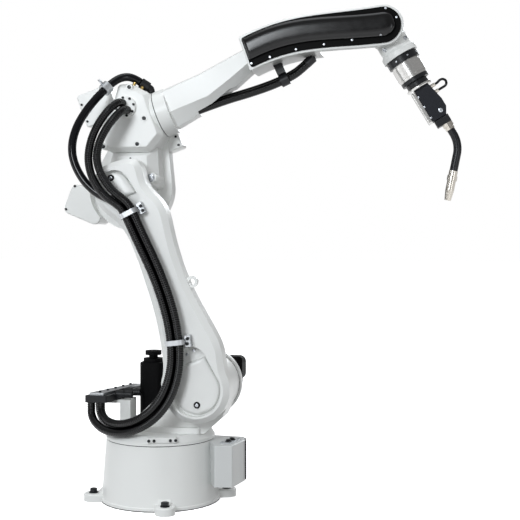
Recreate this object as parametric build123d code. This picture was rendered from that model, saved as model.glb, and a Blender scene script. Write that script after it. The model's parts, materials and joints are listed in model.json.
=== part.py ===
"""Six-axis arc-welding robot arm on a round bolted base, in millimetres.

The arm stands on the floor at z = 0 with the waist axis on the Z axis.  +X is the
way the forearm points and -Y is the side that the lower arm hangs on.
"""
import os
from math import asin, atan2, cos, hypot, radians, sin, tan

from build123d import *

# Joint layout
SHOULDER_X = 175.0
SHOULDER_Z = 432.0
LOWER_LENGTH = 785.0
LOWER_LEAN_DEG = 22.3
ELBOW_OFFSET = 220.0
FOREARM_LENGTH = 1093.0
FOREARM_TILT_DEG = 19.5
TOOL_TILT_DEG = -59.3

# Fits shared by every piece
JOINT_GAP = 0.4
SEAM_GROOVE = 3.0
HOSE_FIT = 0.4
CUT_OVERRUN = 2.0

# Base drum and feet
BASE_FOOT_RADIUS = 219.0
BASE_TOP_RADIUS = 202.0
BASE_HEIGHT = 228.0
BASE_SKIRT_HEIGHT = 12.0
BASE_SKIRT_STEP = 3.0
FOOT_CIRCLE_RADIUS = 249.0
FOOT_COUNT = 4
FOOT_START_DEG = 18.0
FOOT_HALF_WIDTH = 36.0
FOOT_THICKNESS = 28.0
FOOT_HOLE_RADIUS = 9.0
FOOT_EDGE_FILLET = 5.0
GUSSET_HEIGHT = 34.0
GUSSET_HALF_WIDTH = 22.0

# Connector box on the drum: plan corners as shares of the drum's foot radius
BOX_PLAN_SHARES = ((0.80, 0.02), (1.055, -0.58), (1.35, -0.545), (1.465, 0.0), (1.40, 0.30), (0.80, 0.38))
BOX_BOTTOM = 76.0
BOX_TOP = 226.0
BOX_CORNER = 7.0
BOX_LID_THICKNESS = 5.0
BOX_LID_INSET = 4.0

# Turret
REGISTER_RADIUS = 172.0
TURRET_RADIUS = 203.0
TURRET_TOP_RADIUS = 188.0
TURRET_DISC_HEIGHT = 33.0
TURRET_LIP = 10.0
SHOULDER_FACE_Y = -95.0
SHOULDER_SPLIT_Y = 38.0
GEAR_CASE_FAR_Y = 112.0
SHOULDER_DRUM_RADIUS = 118.0
GEAR_CASE_RADIUS = 126.0
GEAR_CASE_STEP = 12.0
GEAR_CASE_STEP_DEPTH = 26.0
GEAR_CASE_FILLET = 8.0
PEDESTAL_REAR_X = -64.0
PEDESTAL_FRONT_X = 186.0
PEDESTAL_BROW_X = 250.0
PEDESTAL_WAIST_Z = 318.0
PEDESTAL_SLOPE_DEG = 20.0
PLINTH_MARGIN = 14.0
PLINTH_HEIGHT = 20.0
PLINTH_CORNER = 12.0
PAD_DEG = -74.0
PAD_WIDTH = 102.0
PAD_DEPTH = 40.0
PAD_HEIGHT = 22.0
PAD_PROUD = 3.0
PAD_CORNER = 5.0

# Turret motors
MOTOR_SIDE = 92.0
MOTOR_CORNER = 24.0
MOTOR_FLANGE_SIDE = 104.0
MOTOR_FLANGE_HEIGHT = 14.0
WAIST_MOTOR_X = -60.0
WAIST_MOTOR_Y = 118.0
WAIST_MOTOR_LENGTH = 232.0
WAIST_CAP_PROFILE = ((0.0, 38.0), (13.0, 38.0), (13.0, 17.0), (26.0, 17.0), (26.0, 31.0), (42.0, 31.0))
MOTOR_CAP_SIDE = 66.0
MOTOR_CAP_CORNER = 12.0
SHOULDER_MOTOR_X = 238.0
SHOULDER_MOTOR_Z = 468.0
SHOULDER_MOTOR_LENGTH = 120.0
SHOULDER_CAP_LENGTH = 46.0

# Hose manifold across the back of the turret, with its bracket
MANIFOLD_REAR_X = -266.0
MANIFOLD_WIDTH = 86.0
MANIFOLD_FAR_WIDTH = 60.0
MANIFOLD_SKEW = 94.0
MANIFOLD_NEAR_Y = -104.0
MANIFOLD_FAR_Y = 190.0
MANIFOLD_BOTTOM = 366.0
MANIFOLD_TOP = 392.0
MANIFOLD_CORNER = 8.0
RAIL_HEIGHT = 8.0
RAIL_MARGIN = 14.0
CONNECTOR_RISE = 20.0
CONNECTOR_RADIUS = 13.0
CONNECTOR_COLLAR_RADIUS = 16.0
CONNECTOR_LENGTH = 46.0
CONNECTOR_COLLAR_LENGTH = 14.0
CONNECTOR_PLACE_SHARES = (0.30, 0.50)
SHELF_THICKNESS = 12.0
SHELF_NEAR_Y = -22.0
SHELF_FAR_Y = 60.0
SHELF_FRONT_X = -112.0
SHELF_WEB_WIDTH = 40.0

# Lower arm
ARM_NEAR_Y = -190.0
ARM_FAR_Y = -108.0
ARM_HUB_RADIUS = 121.0
ARM_TOP_RADIUS = 88.0
ARM_BOSS_SHARE = 0.86
ARM_FACET = 20.0
ARM_POCKET_DEPTH = 24.0
ARM_COVER_THICKNESS = 12.0
ARM_RIM = 27.0
COVER_CLEARANCE = 8.0
POCKET_REACH_SHARE = 0.79
POCKET_LOBE_SHARE = 0.62
POCKET_SIDE_SHARE = 0.2
ELBOW_REACH_SHARE = 0.76
ELBOW_SIDE_SHARE = 0.3
EYE_ALONG_SHARE = 0.464
EYE_ACROSS_SHARE = 1.06
EYE_RADIUS = 21.0
EYE_HOLE_RADIUS = 11.0
EYE_HALF_THICKNESS = 11.0
# Along the arm as a share of its length, and sideways as a share of the hub radius
ARM_FRONT_SHARES = ((0.126, 1.15), (0.25, 1.11), (0.43, 0.97), (0.72, 1.07), (0.86, 1.12), (0.965, 0.9))
ARM_REAR_SHARES = ((0.84, -0.34), (0.60, -0.22), (0.366, -0.35), (0.25, -0.5), (0.126, -0.76))

# Elbow: outlines as shares of the forearm's offset, from the elbow axis
ELBOW_NEAR_Y = -95.0
ELBOW_DRUM_RADIUS = 100.0
ELBOW_SPLIT_Y = 42.0
ELBOW_CASE_FAR_Y = 104.0
ELBOW_CASE_RADIUS = 156.0
CASE_TOP_SHARES = ((-0.25, 0.80), (0.53, 0.86))
CASE_TOP_RADIUS = 22.0
HOUSING_NEAR_Y = -88.0
HOUSING_FAR_Y = 72.0
HOUSING_SHARES = ((-0.373, 0.69), (-0.164, 1.577), (-0.10, 1.755), (0.118, 1.764), (0.418, 1.60),
                  (0.682, 0.89), (0.445, 0.61), (-0.25, 0.61))
HOUSING_FACET_DEPTH = 30.0
HOUSING_FACET_INSET = 17.0
HOUSING_CORNER = 16.0
FACET_CORNER_SHARE = 0.5
CASTING_FILLET = 5.0
NECK_SHARES = ((-0.24, 0.70), (0.53, 0.70), (0.57, 0.0), (-0.41, 0.0))
NECK_NEAR_Y = -62.0
NECK_FACET_DEPTH = 38.0
NECK_FACET_INSET = 34.0
NECK_CORNER = 10.0
SCREW_BOSS_SHARES = ((0.12, 1.69), (0.375, 1.165), (0.26, 0.735), (-0.33, 0.70))
SCREW_BOSS_RADIUS = 12.0
SCREW_BOSS_PROUD = 2.0
SCREW_BOSS_FAR_Y = -40.0
STOP_BOSS_SHARES = (0.48, 0.17)
STOP_BOSS_RADIUS = 20.0
STOP_BOSS_NEAR_Y = -80.0
SEAM_ALONG = 210.0
SEAM_RADIUS = 87.0
SEAM_REGISTER_RADIUS = 74.0
SOCKET_REAR_ALONG = 60.0
SOCKET_RING = 8.0
REAR_COVER_ALONG = -70.0
REAR_COVER_LENGTH = 132.0
REAR_COVER_LOW = 48.0
REAR_COVER_HEIGHT = 128.0
REAR_COVER_NEAR_Y = -30.0
REAR_COVER_FAR_Y = 66.0
ROLL_COVER_ALONG = 132.0
ROLL_COVER_LENGTH = 104.0
ROLL_COVER_LOW = -134.0
ROLL_COVER_HEIGHT = 58.0
ROLL_COVER_NEAR_Y = 54.0
ROLL_COVER_FAR_Y = 126.0
COVER_BOX_CORNER = 10.0
ELBOW_MOTOR_BACK = 172.0
ELBOW_MOTOR_DROP = 58.0
ELBOW_MOTOR_LENGTH = 150.0
ELBOW_MOTOR_HEIGHT = 118.0
ELBOW_MOTOR_NEAR_Y = 0.0
ELBOW_MOTOR_FAR_Y = 128.0
ELBOW_MOTOR_TURN_DEG = -22.0
GLAND_X = 13.0
GLAND_RISE = 299.0
GLAND_RADIUS = 40.0
GLAND_THICKNESS = 12.0
GLAND_FILLET = 4.0

# Forearm: the beam's outline runs from the seam to the belt cover as shares of that run, and across it
# as shares of the seam radius
BEAM_ROUND_LENGTH = 46.0
BEAM_TOP_SHARES = ((0.08, 0.90), (0.49, 0.99), (0.90, 1.24), (1.02, 1.29))
BEAM_BOTTOM_SHARES = ((1.02, 0.345), (0.744, -0.138), (0.515, -0.506), (0.10, -0.84))
BEAM_HALF_DEPTH = 66.0
BEAM_TOP_FACE_SHARES = ((0.08, 0.74), (0.49, 0.85), (0.90, 1.10), (1.02, 1.16))
BEAM_BOTTOM_FACE_SHARES = ((1.02, 0.66), (0.744, 0.22), (0.515, -0.10), (0.10, -0.16))
BEAM_FACET_DEPTH = 36.0
BEAM_REACH = 250.0
CHANNEL_START = 142.0
CHANNEL_HALF_WIDTH = 38.0
CHANNEL_TOP = -8.0
PLATE_NEAR_Y = -92.0
PLATE_FAR_Y = -66.0
COVER_LENGTH = 493.0
COVER_RIM_Y = -100.0
COVER_NEAR_Y = -122.0
COVER_START_TOP = 138.0
COVER_START_BOTTOM = 24.0
COVER_START_DEG = 7.0
COVER_CORNER = 9.0
COVER_MID_SHARE = 0.243
COVER_MID_TOP = 143.0
COVER_MID_BOTTOM = 27.0
COVER_END_RADIUS = 64.0
PANEL_TOP_MARGIN = 10.0
PANEL_BOTTOM_MARGIN = 29.0
PANEL_START_MARGIN = 12.0
PANEL_END_MARGIN = 24.0
PANEL_FILLET = 13.0
RIM_FILLET = 3.0
PLATE_RIM = 9.0
PLATE_FILLET = 4.0

# Wrist and tool, along and across the tool axis from the wrist axis
WRIST_FAR_Y = 48.0
WRIST_DRUM_RADIUS = 70.0
WRIST_NOSE_RADIUS = 58.0
WRIST_LIP_RADIUS = 66.0
WRIST_LIP = 20.0
WRIST_NOSE_ALONG = 118.0
WRIST_FILLET = 5.0
RING_RADIUS = 60.0
RING_END_ALONG = 145.0
RING_GROOVE = 4.0
FLANGE_RADIUS = 55.0
FLANGE_END_ALONG = 209.0
FLANGE_BAND = 9.0
COLLAR_RADIUS = 52.0
COLLAR_WAIST_RADIUS = 41.0
COLLAR_STEP = 14.0
COLLAR_END_ALONG = 242.0
CLAMP_RING_RADIUS = 48.0
CLAMP_RING_END_ALONG = 252.0
CHAMFER = 2.5
TORCH_BODY_LENGTH = 130.0
TORCH_BODY_DEPTH = 52.0
TORCH_BODY_LEFT = -24.0
TORCH_BODY_RIGHT = 31.0
TORCH_BODY_BULGE = 46.0
TORCH_BULGE_SHARES = (0.55, 0.80)
TORCH_EDGE = 4.0
TORCH_PLATE_THICKNESS = 16.0
TORCH_PLATE_DEPTH = 58.0
TORCH_PLATE_START = 6.0
GRIP_LEFT = -20.0
GRIP_RIGHT = 36.0
GRIP_DEPTH = 44.0
GRIP_LENGTH = 28.0
NECK_SIDE = 17.0
FITTING_RADIUS = 20.0
FITTING_NUT_RADIUS = 17.0
FITTING_LENGTH = 26.0
NECK_RADIUS = 14.5
NECK_STRAIGHT = 18.0
NECK_BEND_RADIUS = 105.0
NECK_BEND_DEG = 42.0
NECK_TAIL = 60.0
NOZZLE_HOLDER_RADIUS = 18.0
NOZZLE_HOLDER_LENGTH = 36.0
NOZZLE_RADIUS = 15.5
NOZZLE_TIP_RADIUS = 11.5
NOZZLE_LENGTH = 72.0
NOZZLE_BORE_RADIUS = 8.0
NOZZLE_BORE_DEPTH = 30.0
LEAD_RADIUS = 3.2
PLUG_RADIUS = 7.0
PLUG_TOP = 52.0
PLUG_ALONGS = (268.0, 292.0)
PLUG_SIDE = 12.0

# Hoses: three run from the manifold to the elbow, and two along the forearm
HOSE_RADIUS = 15.0
HOSE_CORNER_SHARE = 0.45
ARM_EXIT_SHARE = 0.73
CLAMP_WALL = 6.0
CLAMP_BLOCK_WIDTH = 20.0
CLAMP_BLOCK_HEIGHT = 30.0
CLAMP_BLOCK_HALF_LENGTH = 20.0
CLAMP_HALF_LENGTH = 9.0
TOP_CLAMP_WALL = 8.0
TOP_CLAMP_HALF_LENGTH = 14.0
CABLE_GLAND_LENGTH = 34.0
CLIP_HALF_LENGTH = 16.0
CLIP_WALL = 6.0
CLIP_POST_HALF = 14.0
CLIP_PLACE_SHARE = 0.5
# Routes over the shoulder and along the arm, from the shoulder axis
SHOULDER_ROUTES = {
    "a": ((-79, -232, 173), (-76, -232, 147), (-78, -232, 80), (-97, -232, 11), (-126, -231, -40),
          (-168, -226, -83), (-222, -213, -114), (-279, -188, -129), (-329, -154, -128),
          (-363, -116, -116), (-378, -92, -98), (-380, -85, -84), (-380, -85, -66.4)),
    "b": ((-49, -232, 175), (-46, -232, 149), (-48, -232, 75), (-68, -232, 0), (-101, -231, -59),
          (-149, -226.5, -108), (-210, -214, -143), (-278, -189.5, -162), (-344, -160, -158),
          (-392, -124, -136), (-414, -97, -112), (-418, -85, -88), (-418, -85, -66.4)),
    "c": ((-64, -205.5, 174), (-61, -205.5, 148), (-63, -205.5, 77), (-82, -205.5, 5), (-114, -205, -50),
          (-158, -198, -94.5), (-216, -184.5, -127), (-281, -158.5, -144), (-333, -123, -147),
          (-373, -82, -134), (-394, -54, -110), (-399, -46, -86), (-399, -46, -66.4)),
}
ARM_ROUTES = {
    "a": ((-201, -232, 529), (-166, -232, 459), (-135, -232, 389), (-110, -232, 319),
          (-91, -232, 250), (-82, -232, 199)),
    "b": ((-173, -232, 543), (-138, -232, 472), (-107, -232, 400), (-81, -232, 329),
          (-61, -232, 257), (-52, -232, 201)),
    "c": ((-187, -205.5, 536), (-152, -205.5, 465), (-121, -205.5, 395), (-96, -205.5, 324),
          (-76, -205.5, 254), (-67, -205.5, 200)),
}
# Routes round the elbow and along the forearm, from the elbow axis
ELBOW_ROUTES = {
    "a": ((53, -232, -103), (42, -232, -81), (20, -236, -62), (-13, -238, -40), (-45, -236, -8),
          (-74, -230, 40), (-90, -219, 104), (-81, -207, 173), (-56, -195, 232), (-25, -182, 278),
          (-1, -158, 306), (4, -126, 312), (4, -100.4, 312)),
    "b": ((80, -232, -89), (69, -232, -67), (48, -236, -45), (17, -238, -23), (-13, -236, 9),
          (-40, -229, 55), (-55, -218, 107), (-47, -206, 161), (-24, -194, 210), (0, -181, 248),
          (19, -158, 278), (22, -126, 286), (22, -100.4, 286)),
    "c": ((66, -205.5, -96), (55, -205.5, -74), (35, -205.5, -59), (7, -205.5, -49), (-30, -205.5, -39),
          (-73, -205.5, -15), (-116, -204.5, 29), (-149, -199, 88), (-161, -190, 148), (-151, -174, 213),
          (-123, -149, 277), (-83, -118, 338), (-59, -97, 368)),
}
TOP_ROUTE = ((-59, -97, 368), (-39, -79.5, 393), (-9, -57, 414), (25, -38, 415), (53, -26, 396))
FOREARM_ROUTE = ((270, 294), (367, 328), (462, 353), (555, 383), (629, 417), (664, 446), (675, 456))
FOREARM_HOSE_STEP = 14.2
FOREARM_HOSE_RISE = 6.0
# Route of the thin sensing lead beside the torch: along, across and towards the near side from the wrist axis
LEAD_ROUTE = ((268, 52, 12), (268, 62, 12), (263, 74, 13), (267, 87, 14), (280, 92, 14), (292, 84, 13),
              (292, 67, 12), (292, 52, 12))


def side_frame(x, z, angle_deg):
    """Frame in the arm's own plane: local x along the angle, local y across it, local z towards -Y."""
    turn = radians(angle_deg)
    return Location(Plane(origin=(x, 0, z), x_dir=(cos(turn), 0, sin(turn)), z_dir=(0, -1, 0)))


LOWER_ANGLE_DEG = 90.0 + LOWER_LEAN_DEG
SHOULDER = side_frame(SHOULDER_X, SHOULDER_Z, 0.0)
LOWER = side_frame(SHOULDER_X, SHOULDER_Z, LOWER_ANGLE_DEG)
ELBOW_X = SHOULDER_X + LOWER_LENGTH * cos(radians(LOWER_ANGLE_DEG))
ELBOW_Z = SHOULDER_Z + LOWER_LENGTH * sin(radians(LOWER_ANGLE_DEG))
ELBOW = side_frame(ELBOW_X, ELBOW_Z, 0.0)
TILT = radians(FOREARM_TILT_DEG)
FOREARM = side_frame(ELBOW_X - ELBOW_OFFSET * sin(TILT), ELBOW_Z + ELBOW_OFFSET * cos(TILT), FOREARM_TILT_DEG)
WRIST_X = ELBOW_X + FOREARM_LENGTH * cos(TILT) - ELBOW_OFFSET * sin(TILT)
WRIST_Z = ELBOW_Z + FOREARM_LENGTH * sin(TILT) + ELBOW_OFFSET * cos(TILT)
TOOL = side_frame(WRIST_X, WRIST_Z, TOOL_TILT_DEG)
DISC_TOP = BASE_HEIGHT + SEAM_GROOVE + TURRET_DISC_HEIGHT
COVER_START = FOREARM_LENGTH - COVER_LENGTH
BEAM_FRONT = COVER_START + BEAM_REACH
TORCH_BODY_END = CLAMP_RING_END_ALONG + TORCH_BODY_LENGTH
GRIP_END = TORCH_BODY_END + GRIP_LENGTH
NECK_START = GRIP_END + FITTING_LENGTH


def from_joint(x, z, points):
    """Hose route points that are measured from a joint axis."""
    return [(x + px, py, z + pz) for px, py, pz in points]


HOSE_ROUTES = {}
for hose_key in "abc":
    shoulder_run = from_joint(SHOULDER_X, SHOULDER_Z, SHOULDER_ROUTES[hose_key])
    elbow_run = from_joint(ELBOW_X, ELBOW_Z, ELBOW_ROUTES[hose_key])
    arm_run = from_joint(SHOULDER_X, SHOULDER_Z, ARM_ROUTES[hose_key])
    HOSE_ROUTES[f"hose_{hose_key}_shoulder"] = shoulder_run
    exit_run = tuple(a - ARM_EXIT_SHARE * (b - a) for a, b in zip(*elbow_run[:2]))
    HOSE_ROUTES[f"hose_{hose_key}_arm"] = [elbow_run[0], exit_run, *arm_run, shoulder_run[0]]
    HOSE_ROUTES[f"hose_{hose_key}_elbow"] = elbow_run
HOSE_ROUTES["hose_c_top"] = from_joint(ELBOW_X, ELBOW_Z, TOP_ROUTE)
for hose_key, hand in (("d", -1), ("e", 1)):
    shift = hand * FOREARM_HOSE_RISE
    HOSE_ROUTES[f"hose_{hose_key}_forearm"] = from_joint(
        ELBOW_X - shift * sin(TILT), ELBOW_Z + shift * cos(TILT),
        [(x, hand * FOREARM_HOSE_STEP, z) for x, z in FOREARM_ROUTE])


def slab(sketch, near_y, far_y):
    """A side-frame sketch given depth from near_y to far_y."""
    return Pos(0, 0, -far_y) * extrude(sketch, amount=far_y - near_y)


def drum(radius, near_y, far_y, x=0.0, y=0.0):
    """A round boss across the arm, in a side frame."""
    return slab(Pos(x, y) * Circle(radius), near_y, far_y)


def shaft(radius, start, end, y=0.0):
    """A round piece along local x of a side frame."""
    return Pos(start, y, 0) * (Plane.YZ.location * extrude(Circle(radius), amount=end - start))


def turned(profile, y=0.0):
    """A round piece along local x of a side frame, from its (along, radius) corners."""
    side = [(profile[0][0], 0), *profile, (profile[-1][0], 0)]
    return Pos(0, y, 0) * revolve(polygon(side), Axis.X)


def polygon(points):
    return make_face(Polyline(*points, close=True))


def scaled(shares, along, across):
    """Outline corners from shares of two driving lengths."""
    return [(x * along, y * across) for x, y in shares]


def near_edges(solid):
    """Edges round the face of a side-frame solid that is nearest to the -Y side."""
    return solid.faces().sort_by(Axis.Z)[-1].edges()


def far_edges(solid):
    return solid.faces().sort_by(Axis.Z)[0].edges()


def faceted_block(points, near_y, far_y, depth, inset, corner):
    """Cast block whose near edges fall away in flat facets from a smaller face."""
    outline = fillet(polygon(points).vertices(), corner)
    face = offset(polygon(points), -inset, kind=Kind.INTERSECTION)
    face = fillet(face.vertices(), corner * FACET_CORNER_SHARE)
    facets = loft([Pos(0, 0, -near_y - depth) * outline, Pos(0, 0, -near_y) * face], ruled=True)
    return slab(outline, near_y + depth, far_y) + fillet(near_edges(facets), CASTING_FILLET)


def base_casting():
    """Tapered cast drum with a bolted foot at each quarter."""
    skirt_radius = BASE_FOOT_RADIUS + BASE_SKIRT_STEP
    skirt_top = BASE_SKIRT_HEIGHT + BASE_SKIRT_STEP
    drum_side = polygon([(0, 0), (skirt_radius, 0), (skirt_radius, BASE_SKIRT_HEIGHT),
                         (BASE_FOOT_RADIUS, skirt_top), (BASE_TOP_RADIUS, BASE_HEIGHT), (0, BASE_HEIGHT)])
    body = revolve(Plane.XZ * drum_side, Axis.Z)
    foot_sketch = Pos(FOOT_CIRCLE_RADIUS, 0) * Circle(FOOT_HALF_WIDTH)
    foot_sketch += Pos(FOOT_CIRCLE_RADIUS / 2, 0) * Rectangle(FOOT_CIRCLE_RADIUS, 2 * FOOT_HALF_WIDTH)
    foot = extrude(foot_sketch, amount=FOOT_THICKNESS)
    foot = fillet(foot.faces().sort_by(Axis.Z)[-1].edges(), FOOT_EDGE_FILLET)
    gusset_reach = FOOT_CIRCLE_RADIUS - FOOT_HALF_WIDTH / 2
    gusset_top = FOOT_THICKNESS + GUSSET_HEIGHT
    gusset_side = polygon([(0, 0), (gusset_reach, 0), (gusset_reach, FOOT_THICKNESS),
                           (BASE_TOP_RADIUS, gusset_top), (0, gusset_top)])
    gusset = extrude(Plane.XZ * gusset_side, amount=GUSSET_HALF_WIDTH, both=True)
    hole = Pos(FOOT_CIRCLE_RADIUS, 0, 0) * Cylinder(FOOT_HOLE_RADIUS, 2 * gusset_top)
    turns = [Rot(0, 0, FOOT_START_DEG + 360.0 * index / FOOT_COUNT) for index in range(FOOT_COUNT)]
    for turn in turns:
        body += turn * foot
        body += turn * gusset
    for turn in turns:
        body -= turn * hole
    return body


def box_plan():
    return scaled(BOX_PLAN_SHARES, BASE_FOOT_RADIUS, BASE_FOOT_RADIUS)


def connector_box(base):
    """Cable connector box on the side of the drum, cut to sit on it."""
    block = extrude(polygon(box_plan()), amount=BOX_TOP - BOX_BOTTOM)
    block = fillet(block.edges().filter_by(Axis.Z), BOX_CORNER)
    block = fillet(block.faces().sort_by(Axis.Z)[-1].edges(), BOX_CORNER / 2)
    return Pos(0, 0, BOX_BOTTOM) * block - base


def connector_door(box):
    """Gasketed door on the outer end of the connector box."""
    outer, back = (Vector(*corner) for corner in box_plan()[3:5])
    middle = (outer + back) / 2
    width = (back - outer).length
    plane = Plane(origin=(middle.X, middle.Y, BOX_BOTTOM), x_dir=(back - outer).normalized(), z_dir=(0, 0, 1))
    door = Box(width, 2 * BOX_LID_THICKNESS, BOX_TOP - BOX_BOTTOM - 2 * BOX_LID_INSET,
               align=(Align.CENTER, Align.CENTER, Align.MIN))
    return plane.location * (Pos(0, 0, BOX_LID_INSET) * door) - box


def turret_casting():
    """Rotating waist: register, disc, and the pedestal that carries the shoulder drum."""
    disc_bottom = BASE_HEIGHT + SEAM_GROOVE
    waist = polygon([(0, BASE_HEIGHT + JOINT_GAP), (REGISTER_RADIUS, BASE_HEIGHT + JOINT_GAP),
                     (REGISTER_RADIUS, disc_bottom), (TURRET_RADIUS, disc_bottom),
                     (TURRET_RADIUS, disc_bottom + TURRET_LIP), (TURRET_TOP_RADIUS, DISC_TOP), (0, DISC_TOP)])
    body = revolve(Plane.XZ * waist, Axis.Z)
    pad = Box(PAD_DEPTH, PAD_WIDTH, PAD_HEIGHT, align=(Align.MAX, Align.CENTER, Align.MIN))
    pad = fillet(pad.faces().sort_by(Axis.X)[-1].edges(), PAD_CORNER)
    body += Rot(0, 0, PAD_DEG) * (Pos(TURRET_RADIUS + PAD_PROUD, 0, disc_bottom + TURRET_LIP) * pad)
    low = DISC_TOP - SHOULDER_Z - CUT_OVERRUN
    brow_z = PEDESTAL_WAIST_Z - SHOULDER_Z
    slope = radians(PEDESTAL_SLOPE_DEG)
    outline = polygon([(PEDESTAL_REAR_X - SHOULDER_X, low), (PEDESTAL_FRONT_X - SHOULDER_X, low),
                       (PEDESTAL_BROW_X - SHOULDER_X, brow_z),
                       (SHOULDER_DRUM_RADIUS * cos(slope), -SHOULDER_DRUM_RADIUS * sin(slope)), (0, 0),
                       (-SHOULDER_DRUM_RADIUS, 0), (PEDESTAL_REAR_X - SHOULDER_X, brow_z)])
    pedestal = slab(outline, SHOULDER_FACE_Y + SEAM_GROOVE, SHOULDER_SPLIT_Y)
    pedestal += drum(SHOULDER_DRUM_RADIUS, SHOULDER_FACE_Y, SHOULDER_SPLIT_Y)
    plinth = Box(PEDESTAL_FRONT_X - PEDESTAL_REAR_X, SHOULDER_SPLIT_Y - SHOULDER_FACE_Y + 2 * PLINTH_MARGIN,
                 PLINTH_HEIGHT + CUT_OVERRUN, align=(Align.MIN, Align.MIN, Align.MIN))
    plinth = fillet(plinth.edges().filter_by(Axis.Z), PLINTH_CORNER)
    plinth_x = PEDESTAL_REAR_X - PLINTH_MARGIN
    body += Pos(plinth_x, SHOULDER_FACE_Y - PLINTH_MARGIN, DISC_TOP - CUT_OVERRUN) * plinth
    return body + SHOULDER * pedestal


def shoulder_gear_case():
    """Stepped round reducer case on the far side of the shoulder."""
    step_y = SHOULDER_SPLIT_Y + GEAR_CASE_STEP_DEPTH
    case = drum(GEAR_CASE_RADIUS - GEAR_CASE_STEP, step_y, GEAR_CASE_FAR_Y)
    case = fillet(far_edges(case), GEAR_CASE_FILLET)
    rim = drum(GEAR_CASE_RADIUS, SHOULDER_SPLIT_Y, step_y)
    return SHOULDER * (case + fillet(far_edges(rim), GEAR_CASE_FILLET / 2))


def motor_block(length, side, edge):
    """Square motor body standing on z = 0 with its long edges rounded."""
    block = Box(side, side, length, align=(Align.CENTER, Align.CENTER, Align.MIN))
    return fillet(block.edges().filter_by(Axis.Z), edge)


def motor(length):
    """Motor on its mounting flange, standing on z = 0."""
    flange = motor_block(MOTOR_FLANGE_HEIGHT, MOTOR_FLANGE_SIDE, MOTOR_CAP_CORNER)
    body = motor_block(length, MOTOR_SIDE, MOTOR_CORNER)
    return flange + fillet(body.faces().sort_by(Axis.Z)[-1].edges(), MOTOR_CAP_CORNER / 2)


def waist_motor():
    return Pos(WAIST_MOTOR_X, WAIST_MOTOR_Y, DISC_TOP) * motor(WAIST_MOTOR_LENGTH)


def waist_motor_cap():
    """Encoder cap with its grooved collar."""
    cap = Rot(0, -90, 0) * turned(WAIST_CAP_PROFILE)
    return Pos(WAIST_MOTOR_X, WAIST_MOTOR_Y, DISC_TOP + WAIST_MOTOR_LENGTH) * cap


def shoulder_motor():
    body = Rot(-90, 0, 0) * motor(SHOULDER_MOTOR_LENGTH)
    return Pos(SHOULDER_MOTOR_X, GEAR_CASE_FAR_Y, SHOULDER_MOTOR_Z) * body


def shoulder_motor_cap():
    cap = Rot(-90, 0, 0) * motor_block(SHOULDER_CAP_LENGTH, MOTOR_CAP_SIDE, MOTOR_CAP_CORNER)
    return Pos(SHOULDER_MOTOR_X, GEAR_CASE_FAR_Y + SHOULDER_MOTOR_LENGTH, SHOULDER_MOTOR_Z) * cap


def manifold_plan(margin):
    """Skewed plan of the manifold bar, drawn in by a margin."""
    near = MANIFOLD_NEAR_Y + margin
    far = MANIFOLD_FAR_Y - margin
    rear = MANIFOLD_REAR_X + margin
    return [(rear, near), (rear + MANIFOLD_WIDTH - 2 * margin, near),
            (rear + MANIFOLD_SKEW + MANIFOLD_FAR_WIDTH - 2 * margin, far), (rear + MANIFOLD_SKEW, far)]


def manifold_bracket():
    """Folded shelf from the turret disc to the hose manifold."""
    width = SHELF_FAR_Y - SHELF_NEAR_Y
    shelf_rear = MANIFOLD_REAR_X + MANIFOLD_WIDTH - SHELF_WEB_WIDTH
    shelf_z = MANIFOLD_BOTTOM - SHELF_THICKNESS
    corner = (Align.MIN, Align.MIN, Align.MIN)
    shelf = Box(SHELF_FRONT_X - shelf_rear, width, SHELF_THICKNESS, align=corner)
    shelf = Pos(shelf_rear, SHELF_NEAR_Y, shelf_z) * shelf
    web_height = shelf_z + SHELF_THICKNESS / 2 - DISC_TOP
    web = Box(SHELF_WEB_WIDTH, width, web_height, align=corner)
    return shelf + Pos(SHELF_FRONT_X - SHELF_WEB_WIDTH, SHELF_NEAR_Y, DISC_TOP) * web


def hose_manifold():
    """Bar that the three hoses plug into from below."""
    plan = fillet(polygon(manifold_plan(0)).vertices(), MANIFOLD_CORNER)
    bar = extrude(plan, amount=MANIFOLD_TOP - MANIFOLD_BOTTOM)
    bar = fillet(bar.faces().sort_by(Axis.Z)[-1].edges(), MANIFOLD_CORNER / 4)
    return Pos(0, 0, MANIFOLD_BOTTOM) * bar


def manifold_rail():
    """Clamping rail screwed along the top of the manifold bar."""
    rail = extrude(polygon(manifold_plan(RAIL_MARGIN)), amount=RAIL_HEIGHT)
    return Pos(0, 0, MANIFOLD_TOP) * fillet(rail.edges().filter_by(Axis.Z), MANIFOLD_CORNER / 2)


def manifold_connectors(bar):
    """Two cable connectors that come out of the manifold towards the turret."""
    near, far = (Vector(*corner) for corner in manifold_plan(0)[1:3])
    collar_end = MANIFOLD_CORNER + CONNECTOR_COLLAR_LENGTH
    end = MANIFOLD_CORNER + CONNECTOR_LENGTH
    profile = ((-MANIFOLD_CORNER, CONNECTOR_COLLAR_RADIUS), (collar_end, CONNECTOR_COLLAR_RADIUS),
               (collar_end, CONNECTOR_RADIUS), (end, CONNECTOR_RADIUS))
    pair = Part()
    for share in CONNECTOR_PLACE_SHARES:
        spot = near + (far - near) * share
        pair += Pos(spot.X, spot.Y, MANIFOLD_BOTTOM + CONNECTOR_RISE) * turned(profile)
    return pair - bar


def arm_point(shares):
    along, across = shares
    return (along * LOWER_LENGTH, -across * ARM_HUB_RADIUS)


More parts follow.
